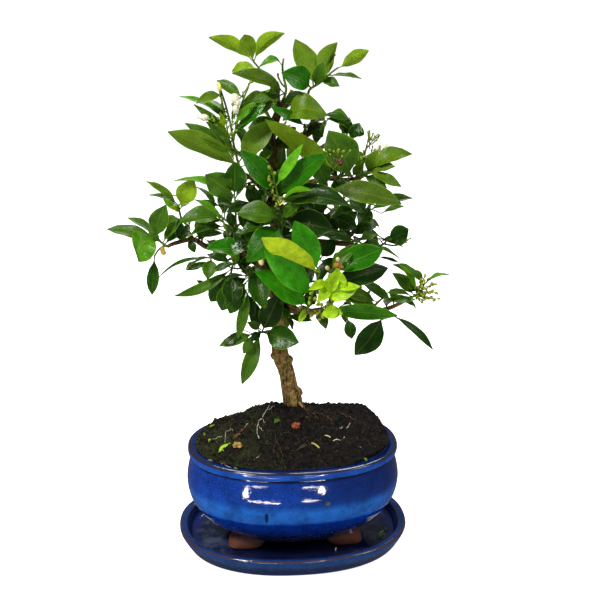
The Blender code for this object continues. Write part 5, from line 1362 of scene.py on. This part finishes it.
OPEN_BUDS = [  # stalk, place, radius, length by radius, tone
    ((-52, 404, 20), (-50, 422, 24), 3, 1.8, WHITE), ((-50, 404, 20), (-46.5, 418, 26), 2.8, 1.7, WHITE),
    ((-59, 412, 14), (-62, 431, 14), 2.4, 1.8, PALE), ((-66, 402, 20), (-78, 406, 22), 2.8, 2.2, WHITE),
    ((70, 365, 8), (76.5, 377, 6), 2.4, 1.7, WHITE), ((72, 365, 8), (82, 378.5, 4), 2.2, 1.7, WHITE),
    ((39, 266, 60), (44.5, 268.5, 72), 2.6, 1.4, rgb(138, 86, 34)),
    ((39, 268, 60), (41, 276.5, 70), 2.2, 1.3, CREAM), ((-31, 285, 30), (-28, 276, 38), 3.2, 1.5, CREAM),
    ((39, 357, 32), (42.7, 363.5, 42), 2.4, 1.5, CALYX),
    ((-112, 294, 8), (-115.4, 289.5, 14), 2.6, 1.2, FRUITLET)]
FORKED_STALKS = [  # start and tips
    ((37, 360, 36),
     [(30, 374.5, 38), (33.5, 372, 40), (36.5, 374.5, 40), (40.5, 374, 38), (44, 370, 40), (51, 375, 40)]),
    ((68, 384, 6), [(66.5, 391, 7), (71, 389.5, 5), (76.5, 388, 9)])]
KNOB_STALK_RADIUS = 0.5
KNOB_LEAN = 0.9
KNOB_SIZES = (0.65, 0.9)
KNOB_LENGTH = 1.7
FORK_RADIUS, FORK_SAG, FORK_TIP, FORK_TIP_LENGTH = 0.6, 1.2, 0.9, 1.3
OPEN_STALK_RADIUS, OPEN_SIZE = 0.55, 0.8


def knobbed_stem(sketch, start, end, knobs, radius, tone):
    """Stalk with closed buds set round it by the golden angle."""
    add_stem(sketch, start, end, KNOB_STALK_RADIUS)
    way = (end - start).normalized()
    for number in range(knobs):
        spot = start.lerp(end, (number + 1.0) / knobs)
        aim = way + round_about(way, number * GOLDEN_ANGLE) * KNOB_LEAN
        size = radius * chance.uniform(*KNOB_SIZES)
        add_bud(sketch, spot + aim * radius * KNOB_LEAN, aim, size, KNOB_LENGTH, tone)


flowers = Sketch(*SPRAY_VALUES)
for start, end, knobs, radius, tone in FLOWER_STEMS:
    knobbed_stem(flowers, seen(*start), seen(*end), knobs, radius, tone)
for start, tips in FORKED_STALKS:
    for tip in tips:
        add_stem(flowers, seen(*start), seen(*tip), FORK_RADIUS, FORK_SAG)
        add_bud(flowers, seen(*tip), seen(*tip) - seen(*start), FORK_TIP, FORK_TIP_LENGTH, LIME)
for start, spot, radius, stretch, tone in OPEN_BUDS:
    base, tip = seen(*start), seen(*spot)
    add_stem(flowers, base, tip, OPEN_STALK_RADIUS)
    add_bud(flowers, tip, tip - base, radius * OPEN_SIZE, stretch, tone)
flower_piece = leafy("flower_stalks", flowers)
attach(flower_piece, "root")

# Small growth.  Small leaves on thin twigs of their own fill the crown between the main shoots, dark ones on
# short stalks crowd round the wood inside it, and dry twigs and thorns stand out between them.

SMALL_LEAVES = [  # tone, base, tip, width, tilt, arch, bow
    (OLIVE, (-14, 419, 6), (-44, 416, 14), 13, 60, 2, 3), (FRESH, (13, 396, 10), (-18, 414, 20), 9, 60, 2, 0),
    (DARK, (50, 385, 14), (59, 397, 16), 10, 60, 1, 0), (DEEP, (26, 407, 10), (49, 402, 16), 7, 50, 2, 0),
    (DARK, (-72, 277, 16), (-95, 270, 18), 6, 60, 2, 0), (DARK, (-54, 275, 20), (-76, 284, 18), 8, 50, 2, 0),
    (DEEP, (-49, 276, 24), (-72, 268, 22), 7, 50, 2, 0), (DEEP, (-40, 259, 26), (-57, 228, 28), 17, 65, 2, 2),
    (DARK, (-50, 263, 20), (-63, 237, 22), 14, 60, 2, 0), (MID, (-29, 212, 10), (-41, 219, 14), 8, 60, 1, 0),
    (DARK, (-29, 210, 10), (-38, 201, 16), 8, 60, 1, 0), (MID, (-37, 204, 12), (-45, 190, 16), 8, 75, 1, 0),
    (DEEP, (-7, 226, 6), (18, 219, 12), 8, 40, -2, 0), (DARK, (76, 278, 20), (97, 272, 24), 4, 30, 1, 0),
    (DARK, (78, 295, 12), (101, 286, 12), 4, 40, 1, 0), (DEEP, (80, 292, 12), (94, 295, 14), 5, 40, 1, 0),
    (DEEP, (68, 326, 4), (64, 309, 6), 13, 70, 1, 0), (OLIVE, (66, 354, 10), (75, 375, 12), 13, 70, 1, 0),
    (OLIVE, (53, 352, 12), (62, 363, 16), 8, 60, 1, 0), (OLIVE, (68, 354, 16), (91, 360, 20), 7, 40, 2, 0),
    (MID, (30, 401, 8), (50, 402, 8), 10, 30, 4, -3), (DARK, (44, 407, 6), (48, 390, 8), 12, 75, 1, 0),
    (MID, (8, 414, 6), (-8, 402, 8), 8, 60, 1, 0), (OLIVE, (-52, 376, 14), (-68, 404, 20), 8, 60, 1, 0),
    (MID, (-53, 402, 10), (-74, 418, 10), 6, 50, 1, 0), (GRASS, (-102, 324, 8), (-113, 335, 8), 6, 50, 1, 0),
    (DARK, (-62, 327, 6), (-82, 333, 6), 5, 50, 1, 0), (DEEP, (-60, 313, 16), (-87, 317, 14), 9, 50, 2, 0),
    (DARK, (-52, 307, 14), (-56, 323, 14), 9, 70, 1, 0), (DARK, (-46, 327, 14), (-43, 307, 16), 8, 70, 1, 0),
    (MID, (-58, 303, 18), (-86, 300, 16), 8, 40, 2, 0), (DARK, (-90, 314, 8), (-98, 298, 10), 9, 60, 1, 0),
    (DARK, (7, 332, 30), (20, 320, 34), 9, 50, 1, 0), (OLIVE, (41, 244, 30), (77, 230, 24), 11, 60, 2, 0),
    (MID, (92, 236, 10), (67, 251, 14), 9, 60, 1, 0), (GRASS, (-11, 329, 56), (19, 340, 60), 8, 20, 5, 0),
    (YOUNG, (44, 229, 66), (27, 224, 72), 12, 70, 1, 0), (YOUNG, (27, 241, 66), (61, 251, 78), 14, 70, 2, 1),
    (YOUNG, (29, 247, 68), (43, 259, 76), 11, 70, 1, 0), (GRASS, (-51, 399, 24), (-31, 419, 30), 7, 60, 1, 0),
    (FRESH, (-46, 396, 24), (-23, 416, 30), 8, 60, 1, 0),
    (OLIVE, (-52, 371, 16), (-73, 402, 22), 7, 60, 1, 2), (MID, (-53, 380, 18), (-66, 398, 20), 6, 60, 1, 0),
    (PALE, (-8, 336, 30), (-11, 327, 38), 7, 70, 1, 0), (PALE, (-2, 329, 36), (2, 321, 42), 7, 70, 1, 0),
    (OLIVE, (-5, 326, 36), (0, 319, 40), 7, 70, 1, 0), (DARK, (111, 250, 8), (122, 236, 10), 5, 60, 1, 0),
    (MID, (121, 255, 8), (108, 264, 6), 7, 60, 1, 0), (DARK, (118, 245, 6), (99, 250, 4), 8, 60, 1, 0),
    (MID, (-31, 368, 10), (-17, 375, 14), 9, 60, 1, 0), (DARK, (-8, 378, 0), (0, 385, 2), 10, 60, 1, 0),
    (DARK, (-26, 384, 4), (-19, 372, 6), 9, 60, 1, 0), (DARK, (54, 334, 8), (62, 320, 10), 13, 70, 1, 0),
    (MID, (80, 318, 10), (100, 324, 14), 6, 40, 2, 0), (OLIVE, (66, 356, 20), (97, 342, 26), 10, 50, 2, 0),
    (DARK, (-42, 250, 14), (-36, 223, 20), 9, 65, 1, 0), (DARK, (-45, 212, 8), (-62, 197, 14), 8, 60, 1, 0),
    (OLIVE, (-31, 245, 20), (-24, 232, 26), 9, 70, 1, 0), (DEEP, (44, 268, 60), (52, 274, 64), 5, 60, 1, 0),
    (DARK, (-85, 297, 8), (-74, 306, 10), 7, 50, 1, 0), (MID, (-117, 296, 8), (-127, 306, 10), 7, 60, 1, 0),
    (DARK, (-78, 255, 14), (-86, 260, 16), 4, 60, 1, 0), (DEEP, (34, 376, 16), (47, 362, 20), 11, 70, 1, 0),
    (MID, (-36, 417, 12), (-20, 422, 16), 8, 50, 1, 0), (LIME, (-58, 396, 18), (-62, 410, 22), 5, 70, 1, 0),
    (LIME, (-46, 405, 20), (-38, 417, 24), 5, 70, 1, 0), (GRASS, (-43, 398, 20), (-25, 417, 26), 6, 60, 2, 0),
    (DEEP, (12, 299, 50), (27, 284, 56), 7, 60, 1, 0), (DARK, (34, 296, 14), (54, 301, 16), 7, 50, 1, 0),
    (DARK, (24, 308, 20), (34, 318, 22), 9, 60, 1, 0), (DARK, (48, 311, 16), (58, 320, 20), 9, 60, 1, 0)]
THORNS = [  # foot, tip
    ((-66.5, 341.3, 12), (-71, 336.5, 16)), ((-98, 338, 4), (-127, 338.5, 2)),
    ((-92, 298, 10), (-93.5, 288.5, 14)), ((-86, 300, 10), (-84, 292, 16)), ((-59, 263, 20), (-72, 252, 26)),
    ((100, 244, 12), (94, 249.5, 16)), ((74, 338, 4), (88, 343, 8)), ((62, 296, 14), (56, 287, 20))]
THORN_RADII = [0.55, 0.12]
DRY_TWIGS = [  # foot, middle, tip
    ((-14, 322, -4), (-27, 333, 8), (-43, 347, 14)), ((-15, 318, -4), (-30, 326, 8), (-41, 336, 12)),
    ((-14, 330, -4), (-24, 340, 4), (-31, 352, 8)), ((-14, 326, -4), (-23, 330, 10), (-35, 331, 16)),
    ((15, 305, 2), (30, 310, 8), (44, 318, 12)), ((10, 302, 2), (26, 314, 8), (36, 322, 12)),
    ((-35, 277, 6), (-48, 270, 14), (-62, 274, 18)), ((-40, 280, 6), (-52, 286, 10), (-66, 283, 12))]
DRY_TWIG_RADII = [1.3, 0.9, 0.4]
INNER_STEP = 8.0
INNER_FLOOR = 215.0
INNER_LONG = (13.0, 24.0)
# About half the inner leaves get DARK, which is partly painted shade inside the crown.
INNER_TONES = (DARK, DARK, DEEP, MID)
INNER_TILTS = (-20.0, 60.0)
INNER_LEANS = (-0.2, 0.8)
INNER_RISE = Vector((0.0, 0.0, 0.25))
INNER_WIDTH = 0.5
SMALL_TWIG_RADIUS = 0.5
EVEN_FOLD = 0.3
shoot_points = [point * MM for spray in SPRAYS for route in spray.shoots
                for point in flowing(places(route), 6)]
nearest_hold = nearest_of(wood.points + shoot_points)
small = Sketch(*SPRAY_VALUES)
for tone, base, tip, width, face, arch, bow in SMALL_LEAVES:
    base, tip = seen(*base), seen(*tip)
    add_stem(small, nearest_hold.find(base * MM)[0] / MM, base, SMALL_TWIG_RADIUS)
    add_leaf(small, base, tip, tone, width, face, arch, bow, chance.random(), chance.uniform(*FOLDS))
small_piece = leafy("small_leaves", small, Sides=10, Rings=14)
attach(small_piece, "root")
inner = Sketch(*SPRAY_VALUES)
twigs = Sketch("radius", "stout")
for ends in THORNS:
    twigs.line(places(ends), THORN_RADII)
for route in DRY_TWIGS:
    twigs.tube(places(route), DRY_TWIG_RADII, 6)
number = 0
for course in [spray.wood for spray in SPRAYS + ROUND_SPRAYS] + DRY_TWIGS:
    route = places(course)
    for start, end in zip(route, route[1:]):
        way = (end - start).normalized()
        for step in range(int((end - start).length / INNER_STEP)):
            spot = start.lerp(end, (step + 0.5) * INNER_STEP / (end - start).length)
            if spot.z < INNER_FLOOR:
                continue
            number += 1
            out = round_about(way, number * GOLDEN_ANGLE)
            long = chance.uniform(*INNER_LONG)
            tip = spot + (out + way * chance.uniform(*INNER_LEANS) + INNER_RISE) * long
            add_leaf(inner, spot, tip, chance.choice(INNER_TONES), long * INNER_WIDTH,
                     chance.uniform(*INNER_TILTS), 3.0, 0.0, chance.random(), EVEN_FOLD)
inner_piece = leafy("inner_leaves", inner, Sides=8, Rings=9)
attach(inner_piece, "root")
dry_wood = solid_like("dry_wood", (rgb(44, 32, 24), rgb(96, 84, 64)), 300.0, 0.85, 0.0002)[0]
twig_piece = woody("dry_twigs", twigs, dry_wood)
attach(twig_piece, "root")

# Litter.  What has fallen on the soil: a crumb of fired clay, a chip of bark, a lime leaflet and a green one,
# a dry twig and smaller bits.  Pale and brown rootlets lie open where watering has washed the peat off.

HUSK = rgb(104, 44, 30)
LEAF_BITS = [  # tone, base, tip, width
    (GRASS, (-81, 18), (-83.5, 14), 2.6), (LIME, (-76.5, -1), (-79, -5.5), 2.8),
    (OLIVE, (61, -50.5), (62.4, -55), 3), (LIME, (-57.5, -53.7), (-54.5, -55.3), 2),
    (rgb(58, 38, 28), (0.5, -40), (10, -35.5), 3.2), (HUSK, (-57, -15.4), (-49.5, -10.2), 3.4),
    (HUSK, (-50, -9), (-46, -7), 2.6), (CREAM, (27.6, -26.1), (32.5, -29.3), 1.5),
    (CREAM, (34.3, -33), (40, -29.6), 1.3), (LIME, (-79.7, 24.9), (-73, 21.8), 2.2)]
PALE_ROOTS = [  # radius, then places seen from above
    (0.44, (-15.8, 16.6), (-21.9, 10.9), (-24.6, 7.2), (-28.5, 0.6), (-32.6, -4.3), (-33.9, -11.8),
     (-34.3, -18.8), (-33, -25.2)), (0.34, (-18.9, 20.4), (-22.6, 13.2), (-24.6, 7.2)),
    (0.32, (-28.5, 0.6), (-27.4, -4.2), (-26.4, -7)),
    (0.32, (-32.6, -4.3), (-32, -8.4), (-30.6, -14.5), (-28.6, -18)),
    (0.34, (-56.3, 0.3), (-61.4, 2.8), (-63.3, -3.7), (-64.1, -14.7), (-65.2, -22.6), (-66.3, -30.4),
     (-67, -39.4)),
    (0.36, (-82, -34), (-81, -34.7), (-72.8, -40.3), (-67.2, -46.2), (-63.3, -49.9), (-58.5, -53.7)),
    (0.4, (-76, -0.8), (-70.5, -2.6), (-66.7, -3.2)), (0.4, (-42.2, -0.9), (-44.5, -3.2), (-45, -6)),
    (0.45, (-41.9, -49.5), (-37.6, -46.2), (-33, -43.9)), (0.5, (48.9, -16.1), (51.8, -11.4), (53, -10)),
    (0.5, (42.6, -16.6), (44.6, -15.6), (45.2, -15)), (0.45, (57.1, -38.4), (59.5, -39.6), (62, -40.2)),
    (0.4, (38.3, -29.9), (41, -30.9), (45.7, -26.7))]
BROWN_ROOTS = [  # radius, then places seen from above
    (0.4, (11.1, 21), (12.6, 14), (14, 9.6), (15.6, 5), (16.2, 1.8)),
    (0.4, (8, 18), (13, 12), (17.5, 7), (22, 0), (24, -5)),
    (0.45, (56.7, -27.8), (61.5, -32), (65.9, -35), (71.8, -39.2)), (0.45, (62, -32), (66, -31), (70, -34)),
    (0.4, (-86.5, 12), (-83, 8), (-81.5, 2)), (0.4, (-85, 2), (-84, -5), (-81, -11)),
    (0.4, (38, -42.9), (34, -44), (30.5, -46.5)), (0.4, (24.6, -54), (20, -53), (16.5, -54.5)),
    (0.4, (-10, -38), (-3, -42), (4, -47)), (0.4, (-20, -30), (-15, -35), (-14, -42)),
    (0.4, (20, 5), (30, 0), (36, -8)), (0.4, (45, 5), (52, 0), (60, -6))]
SAUCER_BITS = [  # tone, base, tip, width
    (MID, (79, -26, 6.6), (84.5, -18, 8.6), 4), (WHITE, (36, -44.8, 6.5), (37.2, -40.6, 7.2), 0.9),
    (LIME, (79.5, -23, 7.2), (85.5, -16, 8.8), 1.6), (OLIVE, (88, -12, 6.8), (90, -9, 7.4), 2)]
FALLEN_LEAFLETS = [  # replaced node, slot, tone, base, tip, width
    ("lime_leaflet", "lime_leaflet", YOUNG, (-59.5, -18.3), (-70.5, -28.5), 4.2),
    ("fallen_leaflet", "green_leaflet", MID, (-10.5, -4.5), (-18, -11.5), 5)]
LUMPS = [  # replaced node, slot, place, half sizes, turn in degrees, colours, depth of its dents
    ("clay_crumb", "fired_clay", (1.4, -17), (3.8, 3.4, 3), 0, (rgb(104, 46, 32), rgb(168, 94, 68)), 0.42),
    ("bark_chip", "dry_chip", (-53, -27), (4.8, 3.6, 2.2), -38, (rgb(96, 66, 32), rgb(190, 158, 92)), 0.45)]


def resting(across, back, above=0.0):
    """Place on the loose soil, or a little above it."""
    return Vector((across, back, crumbled(across, back) + above))


def dented(name, centre, half, turn, dents):
    """Small rounded lump with dents, in millimetres."""
    mesh = bpy.data.meshes.new(name)
    sphere = bmesh.new()
    bmesh.ops.create_icosphere(sphere, subdivisions=4, radius=1.0)
    turned = Matrix.Rotation(math.radians(turn), 3, "Z")
    for vertex in sphere.verts:
        rough = noise.noise(vertex.co * 1.7 + centre) + 0.4 * noise.noise(vertex.co * 5.0 + centre)
        size = vertex.co * (1.0 + dents * rough)
        vertex.co = (centre + turned @ Vector((size.x * half[0], size.y * half[1], size.z * half[2]))) * MM
    sphere.to_mesh(mesh)
    sphere.free()
    mesh.shade_smooth()
    return mesh


def laid_leaf(sketch, tone, base, tip, width):
    """Leaf bit lying on the soil with a little curl."""
    add_leaf(sketch, resting(*base, 0.5), resting(*tip, 0.9), tone, width, 15.0, 0.9, 0.3, chance.random(),
             EVEN_FOLD)


def litter(piece, replaced=None):
    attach(piece, "root")
    if replaced:
        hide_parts(replaced)


for node, slot, spot, half, turn, colours, dents in LUMPS:
    material = solid_like(node + "_skin", colours, 400.0, 0.9, 0.0004)[0]
    mesh = dented(node, resting(*spot, half[2] * 0.7), half, turn, dents)
    litter(place_in_scene(node + "_lump", mesh, material), node)
for node, slot, tone, base, tip, width in FALLEN_LEAFLETS:
    sketch = Sketch(*SPRAY_VALUES)
    laid_leaf(sketch, tone, base, tip, width)
    litter(leafy(node + "_blade", sketch), node)
bits = Sketch(*SPRAY_VALUES)
for tone, base, tip, width in LEAF_BITS:
    laid_leaf(bits, tone, base, tip, width)
for tone, base, tip, width in SAUCER_BITS:
    add_leaf(bits, Vector(base), Vector(tip), tone, width, 10.0, 0.6, 0.2, chance.random(), EVEN_FOLD)
litter(leafy("leaf_bits", bits))
stick = Sketch("radius", "stout")
stick.line([resting(14.6, -34.6, 0.6), resting(17.5, -37.2, 1.0), resting(20.9, -39.8, 0.7)], [0.9, 0.8, 0.6])
straw = solid_like("straw", (rgb(150, 140, 70), rgb(196, 190, 104)), 400.0, 0.8, 0.0001)[0]
litter(woody("fallen_twig_stick", stick, straw), "fallen_twig")
pale_root = solid_like("pale_root", (rgb(150, 140, 124), rgb(206, 200, 188)), 300.0, 0.75, 0.0001)[0]
brown_root = solid_like("brown_root", (rgb(58, 38, 28), rgb(108, 74, 52)), 300.0, 0.75, 0.0001)[0]
for name, table, material in (("pale_rootlets", PALE_ROOTS, pale_root),
                              ("brown_rootlets", BROWN_ROOTS, brown_root)):
    roots = Sketch("radius", "stout")
    for radius, *spots in table:
        course = flowing([(across, back, 0.0) for across, back in spots], 5)
        path = [resting(point.x, point.y, 0.9 * radius) for point in course]
        roots.line(path, [radius * (0.75 + 0.25 * math.cos(1.9 * step)) for step in range(len(path))])
    litter(woody(name, roots, material))
